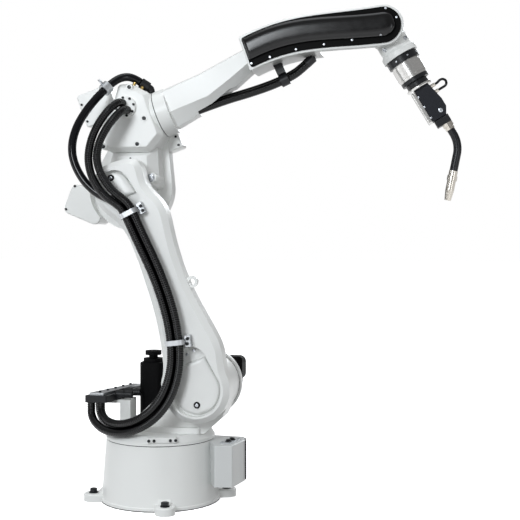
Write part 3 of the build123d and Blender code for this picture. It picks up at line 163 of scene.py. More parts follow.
# Each light: where it hangs, where it points, its width and height in metres and its power in watts.
SOFT_LIGHTS = {
    "overhead_light": ((0.0, -0.4, 6.0), (0.2, 0.0, 0.9), (3.2, 3.2), 70),
    "left_front_light": ((-1.1, -5.0, 2.6), (0.1, 0.0, 0.9), (1.5, 1.5), 144),
    "right_front_light": ((3.9, -4.0, 1.5), (0.2, 0.0, 0.7), (0.7, 2.4), 32),
    "left_strip_light": ((-3.6, -1.4, 1.4), (0.2, 0.0, 1.2), (0.2, 2.6), 16),
    "back_light": ((1.2, 5.0, 3.0), (0.2, 0.0, 0.9), (1.8, 1.8), 80),
}
LAMP_WHITE = "#f6fbff"
for name, (spot, target, (width, tall), power) in SOFT_LIGHTS.items():
    light_data = bpy.data.lights.new(name, "AREA")
    light_data.shape = "RECTANGLE"
    light_data.size = width
    light_data.size_y = tall
    light_data.energy = power
    light_data.color = linear(LAMP_WHITE)[:3]
    light = bpy.data.objects.new(name, light_data)
    light.location = spot
    light.rotation_euler = (Vector(target) - Vector(spot)).to_track_quat("-Z", "Y").to_euler()
    scene.collection.objects.link(light)


# The base drum: a thick aluminium casting in white polyester powder coat, with four cast feet, each
# held to the floor by a hex bolt on its washer.  A black ring at the floor round the drum's foot is a
# painted contact shadow, and a rubber seal closes the joint to the turret.
nodes = frame["nodes"]
COAT_WHITE = "#ebecea"
COAT_SHADE = "#e4e5e3"
COAT_PEEL = 6.0
COAT_DRIFT = 160.0
COAT_GLOSSIER = 0.05
COAT_DULLER = 0.06
COAT_IOR = 1.5
BUMP_DEPTH = 0.3


def white_coat(name, roughness, peel, white=COAT_WHITE, shade=COAT_SHADE):
    """A sprayed white coat with a slight orange peel, whose tone and gloss drift a little."""
    material, tree = new_finish(name)
    place = add(tree, "TexCoord")
    drift = add(tree, "TexNoise", {"Vector": place.outputs["Object"], "Scale": 1 / (COAT_DRIFT * MM),
                                   "Detail": 3.0})
    tone = add(tree, "MixRGB", {0: drift.outputs["Fac"], 1: linear(white), 2: linear(shade)})
    skin = add(tree, "TexNoise", {"Vector": place.outputs["Object"], "Scale": 1 / (COAT_PEEL * MM),
                                  "Detail": 2.0})
    bump = add(tree, "Bump", {"Height": skin.outputs["Fac"], "Strength": peel, "Distance": BUMP_DEPTH * MM})
    gloss = add(tree, "MapRange", {"Value": drift.outputs["Fac"], "To Min": roughness - COAT_GLOSSIER,
                                   "To Max": roughness + COAT_DULLER})
    shader = add(tree, "BsdfPrincipled", {"Base Color": tone.outputs[0], "Roughness": gloss.outputs[0],
                                          "Normal": bump.outputs[0], "IOR": COAT_IOR})
    add(tree, "OutputMaterial", {"Surface": shader.outputs[0]})
    return material


DARK_GLOSS_SPREAD = 0.06


def dark_skin(name, colour, light, roughness, grain, relief, ior=1.33):
    """A dark moulded, painted or blackened skin: a grain, in millimetres, that changes its tone and gloss.

    The IOR is matched to how little of the studio each dark piece mirrors, below that of the bare plastic.
    """
    material, tree = new_finish(name)
    place = add(tree, "TexCoord")
    specks = add(tree, "TexNoise", {"Vector": place.outputs["Object"], "Scale": 1 / (grain * MM),
                                    "Detail": 3.0})
    tone = add(tree, "MixRGB", {0: specks.outputs["Fac"], 1: linear(colour), 2: linear(light)})
    bump = add(tree, "Bump", {"Height": specks.outputs["Fac"], "Strength": relief,
                              "Distance": BUMP_DEPTH * MM})
    gloss = add(tree, "MapRange", {"Value": specks.outputs["Fac"], "To Min": roughness - DARK_GLOSS_SPREAD,
                                   "To Max": roughness + DARK_GLOSS_SPREAD})
    shader = add(tree, "BsdfPrincipled", {"Base Color": tone.outputs[0], "Roughness": gloss.outputs[0],
                                          "Normal": bump.outputs[0], "IOR": ior})
    add(tree, "OutputMaterial", {"Surface": shader.outputs[0]})
    return material


def finish(material, *names):
    """Gives CAD nodes their finish."""
    for name in names:
        mesh = nodes[name].data
        mesh.materials.clear()
        mesh.materials.append(material)


def lone(make, **sizes):
    """Adds a primitive with nothing else selected and returns it."""
    bpy.ops.object.select_all(action="DESELECT")
    make(**sizes)
    return bpy.context.object


def soften(piece, width, segments=2):
    """Breaks a piece's sharp edges."""
    rounding = piece.modifiers.new("broken_edges", "BEVEL")
    rounding.width = width
    rounding.segments = segments
    rounding.limit_method = "ANGLE"
    bpy.context.view_layer.objects.active = piece
    bpy.ops.object.modifier_apply(modifier=rounding.name)


FACING_UP = 0.9


def inset_top(piece, inset, lift):
    """Insets the top face of the piece just added, and lifts or sinks what is inside."""
    for face in piece.data.polygons:
        face.select = face.normal.z > FACING_UP
    bpy.context.tool_settings.mesh_select_mode = (False, False, True)
    bpy.ops.object.mode_set(mode="EDIT")
    bpy.ops.mesh.inset(thickness=inset)
    bpy.ops.transform.translate(value=(0, 0, lift))
    bpy.ops.object.mode_set(mode="OBJECT")


def joined(pieces, name):
    """One piece made of several."""
    bpy.ops.object.select_all(action="DESELECT")
    for piece in pieces:
        piece.select_set(True)
    bpy.context.view_layer.objects.active = pieces[0]
    if len(pieces) > 1:
        bpy.ops.object.join()
    pieces[0].name = name
    return pieces[0]


HEX_CROWN_SHARE = 0.14
HEX_EDGE_SHARE = 0.05
WASHER_EDGE_SHARE = 0.25


def hex_bolt(*sizes):
    """A hex bolt on z = 0, from its head's radius and height and its washer's, in millimetres."""
    head_radius, head_height, washer_radius, washer_height = (size * MM for size in sizes)
    washer = lone(bpy.ops.mesh.primitive_cylinder_add, vertices=32, radius=washer_radius,
                  depth=2 * washer_height)
    soften(washer, washer_height * WASHER_EDGE_SHARE)
    head = lone(bpy.ops.mesh.primitive_cylinder_add, vertices=6, radius=head_radius, depth=head_height)
    head.data.transform(Matrix.Translation((0, 0, washer_height + head_height / 2)))
    inset_top(head, head_radius * HEX_CROWN_SHARE, head_height * HEX_CROWN_SHARE)
    soften(head, head_radius * HEX_EDGE_SHARE)
    return joined([washer, head], "bolt_pattern")


COLLAR_SINK_SHARE = 0.8
COLLAR_EDGE_SHARE = 0.25


def collar(*sizes):
    """A rubber ring on z = 0, from its outer and inner radius and its height, in millimetres."""
    outer, inner, height = (size * MM for size in sizes)
    ring = lone(bpy.ops.mesh.primitive_cylinder_add, vertices=32, radius=outer, depth=2 * height)
    inset_top(ring, outer - inner, -height * COLLAR_SINK_SHARE)
    soften(ring, height * COLLAR_EDGE_SHARE)
    return ring


SCREW_SPIN = math.radians(37)
SMOOTH_UNDER = math.radians(35)


def set_in(name, pattern, spots, material, body):
    """Copies a fastener to each spot, a place and the way its face looks, as one piece that rides on a body."""
    copies = []
    for index, (spot, facing) in enumerate(spots):
        copy = pattern.copy()
        copy.data = pattern.data.copy()
        turn = facing.to_track_quat("Z", "Y").to_matrix().to_4x4()
        copy.data.transform(Matrix.Translation(spot) @ turn @ Matrix.Rotation(index * SCREW_SPIN, 4, "Z"))
        scene.collection.objects.link(copy)
        copies.append(copy)
    bpy.data.objects.remove(pattern)
    piece = joined(copies, name)
    bpy.ops.object.shade_smooth_by_angle(angle=SMOOTH_UNDER)
    piece.data.materials.clear()
    piece.data.materials.append(material)
    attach(piece, body)
    return piece


# Powder coat gives a soft satin highlight.  Its peel is drawn coarser than the real 2 mm, so that it shows.
casting_coat = white_coat("white_powder_coat", roughness=0.36, peel=0.25)
finish(casting_coat, "base_casting")
# Black oxide gives a dark, oily sheen; its grain is drawn as coarse as it needs to show.
black_oxide = dark_skin("black_oxide_steel", "#121316", "#1d1f22", roughness=0.36, grain=3.0, relief=0.15)
UP = Vector((0, 0, 1))
FOOT_CIRCLE = 249.0
FOOT_TOP = 28.0
FOOT_ANGLES = (18, 108, 198, 288)
FOOT_BOLT = (14.5, 12, 17, 3)
foot_spots = []
for angle in FOOT_ANGLES:
    turn = math.radians(angle)
    foot = Vector((FOOT_CIRCLE * math.cos(turn), FOOT_CIRCLE * math.sin(turn), FOOT_TOP))
    foot_spots.append((foot * MM, UP))
set_in("foot_bolts", hex_bolt(*FOOT_BOLT), foot_spots, black_oxide, "base")
# Nitrile rubber gives a dull black line with no clear highlight.
soft_black = dark_skin("black_nitrile_rubber", "#0a0a0b", "#141416", roughness=0.5, grain=2.0, relief=0.2)
WAIST_SEAL = (200.5, 180, 1.1)
WAIST_SEAL_HEIGHT = 228.4
waist_spot = UP * WAIST_SEAL_HEIGHT * MM
set_in("waist_seal", collar(*WAIST_SEAL), [(waist_spot, UP)], soft_black, "base")
# Painted contact shadow: a black rubber ring at the floor, 1.2 mm proud of the drum, stands in for the shadow
# along the drum's foot that the glowing floor washes out.
CONTACT_SHADOW_RING_HALF = 1.6
CONTACT_SHADOW_RING = (223.2, 190, CONTACT_SHADOW_RING_HALF)
contact_shadow_spot = UP * CONTACT_SHADOW_RING_HALF * MM
set_in("foot_gasket", collar(*CONTACT_SHADOW_RING), [(contact_shadow_spot, UP)], soft_black, "base")


# The connector box: a bent sheet box in smooth pale grey paint, screwed to the drum, with a black
# gasketed door on its outer end.  Its grey top plate carries two capped sockets and is held by four
# socket screws.
BOX_TOP = 226.0
TOP_PLATE_PLACE = (272.0, -34.0)
TOP_PLATE_SIZE = (44.0, 96.0, 5.0)
TOP_PLATE_TURN = math.radians(-12)
TOP_PLATE_EDGE = 1.2
# Sheet-metal paint gives an even tone, a shade darker than the castings.
finish(white_coat("pale_grey_box_paint", roughness=0.34, peel=0.15, white="#d3d5d5", shade="#cccecd"),
       "connector_box")
# Moulded nylon gives a soft grey sheen over a fine spark-eroded grain, drawn coarse to show.
black_nylon = dark_skin("moulded_black_nylon", "#0e0f11", "#191a1d", roughness=0.42, grain=3.0, relief=0.3)
finish(black_nylon, "connector_door")
# Plate paint gives a flat mid grey, between the white box and the black caps.
grey_plate = white_coat("grey_plate_paint", roughness=0.34, peel=0.1, white="#b4b8bb", shade="#a9adb0")
top_plate = lone(bpy.ops.mesh.primitive_cube_add, size=1.0)
plate_shape = Matrix.Diagonal((*(Vector(TOP_PLATE_SIZE) * MM), 1.0))
plate_turn = Matrix.Rotation(TOP_PLATE_TURN, 4, "Z")
plate_place = Vector((*TOP_PLATE_PLACE, BOX_TOP)) * MM
top_plate.data.transform(Matrix.Translation(plate_place) @ plate_turn @ plate_shape)
soften(top_plate, TOP_PLATE_EDGE * MM)
top_plate.name = "box_top_plate"
top_plate.data.materials.append(grey_plate)
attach(top_plate, "base")

LINE_RELIEF = 0.02
LINE_DEPTH = 0.1
METAL_GLOSSIER = 0.02
METAL_DULLER = 0.05


def bare_metal(name, colour, shade, roughness, line_pitch, stretch=(1.0, 1.0, 1.0)):
    """Bare or plated metal: fine tool lines, a pitch apart in millimetres, that change its tone and gloss."""
    material, tree = new_finish(name)
    place = add(tree, "TexCoord")
    turn = add(tree, "Mapping", {"Vector": place.outputs["Object"], "Scale": stretch})
    lines = add(tree, "TexNoise", {"Vector": turn.outputs[0], "Scale": 1 / (line_pitch * MM), "Detail": 4.0})
    tone = add(tree, "MixRGB", {0: lines.outputs["Fac"], 1: linear(colour), 2: linear(shade)})
    gloss = add(tree, "MapRange", {"Value": lines.outputs["Fac"], "To Min": roughness - METAL_GLOSSIER,
                                   "To Max": roughness + METAL_DULLER})
    bump = add(tree, "Bump", {"Height": lines.outputs["Fac"], "Strength": LINE_RELIEF,
                              "Distance": LINE_DEPTH * MM})
    shader = add(tree, "BsdfPrincipled", {"Base Color": tone.outputs[0], "Metallic": 1.0,
                                          "Roughness": gloss.outputs[0], "Normal": bump.outputs[0]})
    add(tree, "OutputMaterial", {"Surface": shader.outputs[0]})
    return material


SCREW_SINK_SHARE = 0.3
SCREW_EDGE_SHARE = 0.12
SOCKET_RADIUS_SHARE = 0.56
SOCKET_MIDDLE_SHARE = 0.9


def socket_screw(*sizes):
    """A cap screw head with a hex socket, sunk a little below z = 0, from its radius and height in millimetres."""
    radius, height = (size * MM for size in sizes)
    sink = height * SCREW_SINK_SHARE
    head = lone(bpy.ops.mesh.primitive_cylinder_add, vertices=24, radius=radius, depth=height + sink)
    head.data.transform(Matrix.Translation((0, 0, (height - sink) / 2)))
    soften(head, radius * SCREW_EDGE_SHARE)
    key = lone(bpy.ops.mesh.primitive_cylinder_add, vertices=6, radius=radius * SOCKET_RADIUS_SHARE, depth=height)
    key.data.transform(Matrix.Translation((0, 0, height * SOCKET_MIDDLE_SHARE)))
    socket = head.modifiers.new("hex_socket", "BOOLEAN")
    socket.operation = "DIFFERENCE"
    socket.object = key
    bpy.context.view_layer.objects.active = head
    bpy.ops.object.modifier_apply(modifier=socket.name)
    bpy.data.objects.remove(key)
    return head


def on_plate(offsets):
    """Spots on the top plate's upper face, at offsets in millimetres from its middle."""
    top = plate_place + UP * TOP_PLATE_SIZE[2] / 2 * MM
    return [(top + plate_turn.to_3x3() @ Vector((x, y, 0)) * MM, UP) for x, y in offsets]


# Zinc plate gives small bright points with a cool grey shade.
zinc = bare_metal("zinc_plated_steel", "#b9bcc0", "#9a9da2", roughness=0.28, line_pitch=2.0)
PLATE_SCREW = (3.5, 3)
PLATE_SCREW_OFFSETS = ((-16, -40), (16, -40), (16, 40), (-16, 40))
plate_spots = on_plate(PLATE_SCREW_OFFSETS)
set_in("box_plate_screws", socket_screw(*PLATE_SCREW), plate_spots, zinc, "base")
SOCKET_CAP = (9, 6, 12, 2)
SOCKET_CAP_OFFSETS = ((0, -18), (0, 18))
cap_spots = on_plate(SOCKET_CAP_OFFSETS)
set_in("box_socket_caps", hex_bolt(*SOCKET_CAP), cap_spots, black_nylon, "base")


# The turret: a white casting that turns on the drum and carries the shoulder, with a bolted pad at its
# foot and a gear case on its far side.  Socket screws hold both, and a rubber seal closes the case.
finish(casting_coat, "turret_casting", "shoulder_gear_case")
joints = {joint["name"]: Vector(joint["pos_m"]) for joint in frame["joints"]}
FAR = Vector((0, 1, 0))


def on_face(node, start, toward):
    """Where a line meets the skin of a node or a piece, and the way that the skin looks there."""
    skin = nodes[node] if node in nodes else bpy.data.objects[node]
    hit, spot, facing, _ = skin.ray_cast(start, toward)
    if not hit:
        raise ValueError(f"nothing of {node} at {tuple(start)}")
    return spot, facing


# How far out the lines that look for a face start, in metres: from a joint's plane and from the waist axis.
BEYOND_CASE = 0.4
BEYOND_PAD = 0.5


def far_circle(node, joint, radius, turns):
    """Spots on a node's far side, on a circle in millimetres round a joint's axis, at turns in radians."""
    spots = []
    for turn in turns:
        start = joints[joint] + Vector((math.cos(turn), 0, math.sin(turn))) * radius * MM
        spots.append(on_face(node, start + FAR * BEYOND_CASE, -FAR))
    return spots


PAD_SCREW = (5.5, 4)
PAD_ANGLES = (-87, -82, -66, -61)
PAD_HEIGHT = 252.0
pad_spots = []
for angle in PAD_ANGLES:
    outward = Vector((math.cos(math.radians(angle)), math.sin(math.radians(angle)), 0))
    pad_spots.append(on_face("turret_casting", outward * BEYOND_PAD + UP * PAD_HEIGHT * MM, -outward))
set_in("turret_pad_screws", socket_screw(*PAD_SCREW), pad_spots, black_oxide, "turret")
CASE_SCREW = (7, 6)
CASE_SCREW_CIRCLE = 98.0
CASE_SCREW_START = 22.5
EIGHTH_TURN = 45
case_turns = [math.radians(CASE_SCREW_START + EIGHTH_TURN * index) for index in range(8)]
case_spots = far_circle("shoulder_gear_case", "shoulder", CASE_SCREW_CIRCLE, case_turns)
set_in("gear_case_screws", socket_screw(*CASE_SCREW), case_spots, zinc, "turret")
CASE_SEAL = (119.0, 100, 1.2)
CASE_SEAL_DEPTH = 36.2
seal_spot = joints["shoulder"] + FAR * CASE_SEAL_DEPTH * MM
set_in("gear_case_seal", collar(*CASE_SEAL), [(seal_spot, FAR)], soft_black, "turret")


# The two turret motors: servo motors with smooth die-cast bodies in matt black paint, each held by four
# socket screws.  The upright one ends in its grooved encoder cap.
# Matt motor paint gives a nearly dead black, with only a trace of light on the edges.
motor_paint = dark_skin("matt_black_motor_paint", "#030304", "#070708", roughness=0.6, grain=4.0, relief=0.2,
                        ior=1.16)
finish(motor_paint, "waist_motor", "waist_motor_cap", "shoulder_motor", "shoulder_motor_cap")
WAIST_MOTOR_PLACE = (-60.0, 118.0)
SHOULDER_MOTOR_PLACE = (238.0, 468.0)
FLANGE_CORNER = 44.5
ABOVE_WAIST_MOTOR = 900
BEYOND_SHOULDER_MOTOR = 600
MOTOR_SCREW = (5, 5)
motor_spots = []
for side_x, side_y in ((-1, -1), (1, -1), (1, 1), (-1, 1)):
    across, along = side_x * FLANGE_CORNER, side_y * FLANGE_CORNER
    above = (WAIST_MOTOR_PLACE[0] + across, WAIST_MOTOR_PLACE[1] + along, ABOVE_WAIST_MOTOR)
    motor_spots.append(on_face("waist_motor", Vector(above) * MM, -UP))
    beyond = (SHOULDER_MOTOR_PLACE[0] + across, BEYOND_SHOULDER_MOTOR, SHOULDER_MOTOR_PLACE[1] + along)
    motor_spots.append(on_face("shoulder_motor", Vector(beyond) * MM, -FAR))
set_in("motor_screws", socket_screw(*MOTOR_SCREW), motor_spots, zinc, "turret")


# The hose manifold: a black nylon bar across the back of the turret on a white cast bracket, with a
# milled aluminium rail screwed on top and two screwed connectors towards the motor.
finish(casting_coat, "manifold_bracket")
finish(black_nylon, "hose_manifold", "manifold_connectors")
# Milled aluminium gives a pale, silky grey; its cutter lines are drawn coarse to show.
milled_aluminium = bare_metal("milled_aluminium", "#b2b4b6", "#a0a3a6", roughness=0.36, line_pitch=3.0,
                              stretch=(1.0, 1.0, 0.3))
finish(milled_aluminium, "manifold_rail")
RAIL_SCREW = (5, 5)
RAIL_SCREW_SHARES = (0.1, 0.3, 0.5, 0.7, 0.9)
# The row of screws slants across the rail, from this share of its width over this much more.
RAIL_SCREW_FIRST = 0.22
RAIL_SCREW_DRIFT = 0.56
# How far off the part a line that looks for a face starts, in metres.
CLEAR = 0.1
rail_low, rail_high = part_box("manifold_rail")
rail_spots = []
for share in RAIL_SCREW_SHARES:
    x = rail_low.x + (rail_high.x - rail_low.x) * (RAIL_SCREW_FIRST + RAIL_SCREW_DRIFT * share)
    y = rail_low.y + (rail_high.y - rail_low.y) * share
    rail_spots.append(on_face("manifold_rail", Vector((x, y, rail_high.z + CLEAR)), -UP))
set_in("rail_screws", socket_screw(*RAIL_SCREW), rail_spots, black_oxide, "turret")


# The lower arm: one long white casting with a pocket at each end, closed by loose domed covers that
# leave part of the pocket floor open.  Each cover is held by one socket screw in a black rubber collar,
# and smaller screws show in the pocket floor.
finish(casting_coat, "lower_arm_casting")
LOWER_ANGLE = 112.3
FAR_OFF = 900.0


def along_link(joint, angle, along, across):
    """A place in the arm's plane along and across a link, in metres from millimetres off a joint's axis."""
    turn = math.radians(angle)
    axis = joints[joint]
    return (axis.x + (along * math.cos(turn) - across * math.sin(turn)) * MM,
            axis.z + (along * math.sin(turn) + across * math.cos(turn)) * MM)


def from_joint(joint, node, offsets, angle=0):
    """Spots on a node's near side, at offsets in millimetres along and across a link from a joint's axis."""
    spots = []
    for along, across in offsets:
        x, z = along_link(joint, angle, along, across)
        spots.append(on_face(node, Vector((x, cad_low.y - CLEAR, z)), FAR))
    return spots


def link_edge(node, joint, angle, along, depth, hand):
    """How far across a link a node ends on one side (1 or -1), at a place along it and a depth, in millimetres."""
    x, z = along_link(joint, angle, along, hand * FAR_OFF)
    across = Vector((-math.sin(math.radians(angle)), 0, math.cos(math.radians(angle))))
    spot, _ = on_face(node, Vector((x, depth * MM, z)), across * -hand)
    return (spot - joints[joint]).dot(across) / MM


def link_end(node, joint, angle, depth, hand):
    """How far along a link a node ends (hand 1) or starts (hand -1), in millimetres."""
    x, z = along_link(joint, angle, hand * 2 * FAR_OFF, 0)
    ahead = Vector((math.cos(math.radians(angle)), 0, math.sin(math.radians(angle))))
    spot, _ = on_face(node, Vector((x, depth * MM, z)), ahead * -hand)
    return (spot - joints[joint]).dot(ahead) / MM


DOME_POWER = 2.5
MEET_POWER = 4
DOME_COLUMNS = 110
DOME_ROWS = 36
DOME_LEAST_RISE = 0.001
DOME_SMOOTH_UNDER = math.radians(50)


def domed(name, joint, angle, reach, edges_at, rounds, foot, dome, wall):
    """A moulded shell on a link: a grid drawn out to two edges, domed between them and rounded at its ends."""
    shell = lone(bpy.ops.mesh.primitive_grid_add, x_subdivisions=DOME_COLUMNS, y_subdivisions=DOME_ROWS,
                 size=2.0)
    sides = {}
    for vertex in shell.data.vertices:
        along = reach[0] + (reach[1] - reach[0]) * (math.sin(vertex.co.x * math.pi / 2) / 2 + 0.5)
        share = math.sin(vertex.co.y * math.pi / 2)
        if along not in sides:
            sides[along] = edges_at(along)
        top, bottom = sides[along]
        crown = max(1 - abs(share) ** DOME_POWER, 0.0) ** (1 / DOME_POWER)
        first = max(1 - (along - reach[0]) / rounds[0], 0.0)
        last = max(1 - (reach[1] - along) / rounds[1], 0.0)
        ends = math.sqrt(max(1 - first ** 2, 0.0)) * math.sqrt(max(1 - last ** 2, 0.0))
        rise = 0.0
        if min(crown, ends) > DOME_LEAST_RISE:
            rise = (crown ** -MEET_POWER + ends ** -MEET_POWER) ** (-1 / MEET_POWER)
        x, z = along_link(joint, angle, along, (top + bottom) / 2 + (top - bottom) / 2 * share)
        vertex.co = (x, (foot - dome * rise) * MM, z)
    thick = shell.modifiers.new("moulded_wall", "SOLIDIFY")
    thick.thickness = wall * MM
    bpy.ops.object.modifier_apply(modifier=thick.name)
    bpy.ops.object.mode_set(mode="EDIT")
    bpy.ops.mesh.select_all(action="SELECT")
    bpy.ops.mesh.normals_make_consistent(inside=False)
    bpy.ops.object.mode_set(mode="OBJECT")
    bpy.ops.object.shade_smooth_by_angle(angle=DOME_SMOOTH_UNDER)
    shell.name = name
    bpy.context.view_layer.update()
    return shell


# Cover paint gives a smoother, slightly glossier white than the castings.
cover_coat = white_coat("white_cover_paint", roughness=0.3, peel=0.12)
POCKET_FLOOR = -166.0
COVER_PROBE = -172.0
COVER_DOME = 22.0
COVER_ROUND = 16.0
COVER_WALL = 3.0
PROBE_INSET = 0.2


def cover_edges(node, start, stop, along):
    """The two edges of an arm cover at a place along the lower arm, in millimetres."""
    probe = min(max(along, start + PROBE_INSET), stop - PROBE_INSET)
    return [link_edge(node, "shoulder", LOWER_ANGLE, probe, COVER_PROBE, hand) for hand in (1, -1)]


# Each cover: what it leaves open of its pocket at its lower and its upper end, in millimetres.
ARM_COVERS = {"shoulder_cover": (0.0, 40.0), "elbow_end_cover": (26.0, 0.0)}
for node, (open_low, open_high) in ARM_COVERS.items():
    start = link_end(node, "shoulder", LOWER_ANGLE, COVER_PROBE, -1)
    stop = link_end(node, "shoulder", LOWER_ANGLE, COVER_PROBE, 1)
    dome = domed(node + "_shell", "shoulder", LOWER_ANGLE, (start + open_low, stop - open_high),
                 partial(cover_edges, node, start, stop), (COVER_ROUND, COVER_ROUND), POCKET_FLOOR,
                 COVER_DOME, COVER_WALL)
    dome.data.materials.append(cover_coat)
    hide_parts(node)
    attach(dome, "lower_arm")
COVER_COLLAR = (12, 7.5, 4)
COVER_SCREW = (6, 4.5)
cover_spots = from_joint("shoulder", "shoulder_cover_shell", [(5.7, -51.7)])
cover_spots += from_joint("elbow", "elbow_end_cover_shell", [(-14.0, 33.0)])
set_in("cover_screw_collars", collar(*COVER_COLLAR), cover_spots, soft_black, "lower_arm")
set_in("cover_screws", socket_screw(*COVER_SCREW), cover_spots, zinc, "lower_arm")
POCKET_SCREW = (5, 4)
pocket_spots = from_joint("shoulder", "lower_arm_casting", [(-9.6, 141.4), (-34.8, 126.6)])
set_in("pocket_screws", socket_screw(*POCKET_SCREW), pocket_spots, zinc, "lower_arm")


# The hose clamps on the lower arm: milled aluminium straps with a block at the side, each block held to
# the casting by two socket screws.
finish(milled_aluminium, "lower_hose_clamp", "upper_hose_clamp")
CLAMP_SCREW = (6, 6)
clamp_spots = from_joint("shoulder", "upper_hose_clamp", [(-190.6, 657.0), (-183.0, 641.0)])
clamp_spots += from_joint("shoulder", "lower_hose_clamp", [(-20.0, 188.0), (-22.0, 170.0)])
set_in("clamp_screws", socket_screw(*CLAMP_SCREW), clamp_spots, black_oxide, "lower_arm")


# The elbow: a white casting that swings on the lower arm, with its gear case on the far side, white
# covers over its three motors, and a bolted flange where two hoses go in.
finish(casting_coat, "elbow_casting", "elbow_gear_case", "hose_gland")
finish(cover_coat, "elbow_motor", "rear_motor_cover", "roll_motor_cover")
BOSS_SCREW = (7, 4)
BOSS_OFFSETS = [(26.4, 371.8), (82.5, 256.3), (57.2, 161.7), (-72.6, 154.0)]
boss_spots = from_joint("elbow", "elbow_casting", BOSS_OFFSETS)
set_in("elbow_boss_screws", socket_screw(*BOSS_SCREW), boss_spots, black_oxide, "elbow")
STOP_BOLT = (13, 9, 15, 2.5)
stop_spots = from_joint("elbow", "elbow_casting", [(105.6, 37.4)])
set_in("elbow_stop_bolt", hex_bolt(*STOP_BOLT), stop_spots, zinc, "elbow")
NECK_SCREW = (3.5, 3)
neck_spots = from_joint("elbow", "elbow_casting", [(23.0, 110.6), (16.0, 98.2), (16.0, 84.2)])
set_in("elbow_neck_screws", socket_screw(*NECK_SCREW), neck_spots, black_oxide, "elbow")
CASE_RIM_SCREW = (6, 5)
CASE_RIM_CIRCLE = 134.0
CASE_RIM_COUNT = 9
rim_turns = [math.pi * (1 + index / (CASE_RIM_COUNT - 1)) for index in range(CASE_RIM_COUNT)]
rim_spots = far_circle("elbow_gear_case", "elbow", CASE_RIM_CIRCLE, rim_turns)
set_in("elbow_case_screws", socket_screw(*CASE_RIM_SCREW), rim_spots, zinc, "elbow")
GLAND_SCREW = (4.6, 5)
GLAND_OFFSET = (13.0, 299.0)
GLAND_CIRCLE = 34.0
GLAND_SCREW_START = 12.5
gland_offsets = []
for index in range(8):
    turn = math.radians(GLAND_SCREW_START + EIGHTH_TURN * index)
    gland_offsets.append((GLAND_OFFSET[0] + GLAND_CIRCLE * math.cos(turn),
                          GLAND_OFFSET[1] + GLAND_CIRCLE * math.sin(turn)))
gland_spots = from_joint("elbow", "hose_gland", gland_offsets)
set_in("gland_screws", socket_screw(*GLAND_SCREW), gland_spots, black_oxide, "elbow")
FOREARM_ANGLE = 19.5
MOTOR_COVER_SCREW = (4.5, 4)
motor_cover_spots = from_joint("forearm_roll", "rear_motor_cover", [(-60, 137), (-60, 70)], FOREARM_ANGLE)
motor_cover_spots += from_joint("forearm_roll", "roll_motor_cover", [(224, -88), (224, -122)], FOREARM_ANGLE)
motor_cover_spots += from_joint("elbow", "elbow_motor", [(-213, 12), (-248, -76)])
set_in("motor_cover_screws", socket_screw(*MOTOR_COVER_SCREW), motor_cover_spots, black_oxide, "elbow")


# The top of the elbow: a milled ring that the smooth hose turns over, closed by a wing screw, the nylon
# gland where the hose goes in, and two brass air fittings screwed in beside it.
finish(milled_aluminium, "top_hose_clamp")
finish(black_nylon, "top_cable_gland")
# Turned brass gives two small warm points among the white and black.
brass = bare_metal("turned_brass", "#a08a58", "#8a7444", roughness=0.34, line_pitch=2.0)
AIR_FITTING = (6, 7, 7, 3)
AIR_FITTING_OFFSETS = ((34, -54), (62, -52))
ABOVE_ELBOW = 600
fitting_spots = []
for x, y in AIR_FITTING_OFFSETS:
    above = joints["elbow"] + Vector((x, y, ABOVE_ELBOW)) * MM
    fitting_spots.append(on_face("elbow_casting", above, -UP))
set_in("air_fittings", hex_bolt(*AIR_FITTING), fitting_spots, brass, "elbow")


SHANK_EDGE_SHARE = 0.25
WING_EDGE_SHARE = 0.34
WING_THICK_SHARE = 0.7
WING_TALL_SHARE = 0.8
WING_OUT_SHARE = 0.55
WING_UP_SHARE = 0.95
WING_LEAN = math.radians(32)


def wing_screw(*sizes):
    """A wing screw on z = 0, from its shank's radius and height and its wings' length, in millimetres."""
    radius, height, length = (size * MM for size in sizes)
    shank = lone(bpy.ops.mesh.primitive_cylinder_add, vertices=20, radius=radius, depth=height)
    shank.data.transform(Matrix.Translation((0, 0, height / 2)))
    soften(shank, radius * SHANK_EDGE_SHARE)
    parts = [shank]
    for hand in (-1, 1):
        wing = lone(bpy.ops.mesh.primitive_cube_add, size=1.0)
        flat = Matrix.Diagonal((length, radius * WING_THICK_SHARE, length * WING_TALL_SHARE, 1.0))
        lean = Matrix.Rotation(-hand * WING_LEAN, 4, "Y")
        reach = Matrix.Translation((hand * length * WING_OUT_SHARE, 0, height * WING_UP_SHARE))
        wing.data.transform(reach @ lean @ flat)
        soften(wing, radius * WING_EDGE_SHARE, segments=3)
        parts.append(wing)
    return joined(parts, "wing_pattern")


WING_SCREW = (5, 12, 15)
RING_OFFSET = Vector((-59, -97, 368))
WING_OUTWARD = Vector((-0.579, -0.374, 0.724)).normalized()
ring_middle = joints["elbow"] + RING_OFFSET * MM
wing_spots = [on_face("top_hose_clamp", ring_middle + WING_OUTWARD * CLEAR, -WING_OUTWARD)]
set_in("clamp_wing_screw", wing_screw(*WING_SCREW), wing_spots, zinc, "elbow")


# The forearm: a white beam that rolls on the elbow behind a rubber seal, with a channel below where two
# hoses run to its front, held by a nylon clip and two nylon glands.
finish(casting_coat, "forearm_beam")
finish(black_nylon, "forearm_gland", "forearm_hose_clip")
SEAM_ALONG = 208.0
SEAM_SEAL = (86.0, 76, 3)
forearm_axis = Vector((math.cos(math.radians(FOREARM_ANGLE)), 0, math.sin(math.radians(FOREARM_ANGLE))))
seam_middle = joints["forearm_roll"] + forearm_axis * SEAM_ALONG * MM
set_in("forearm_seal", collar(*SEAM_SEAL), [(seam_middle, forearm_axis)], soft_black, "elbow")


# The belt cover: a humped black ABS moulding over the wrist belts, held by small zinc-plated screws, with
# a flat rim and a crowned panel that has no lettering.
# Etched ABS gives a nearly dead black rim; its etch is drawn coarser than the real one, so that it shows.
finish(dark_skin("etched_black_abs", "#010101", "#030303", roughness=0.5, grain=2.0, relief=0.1, ior=1.14),
       "belt_cover")
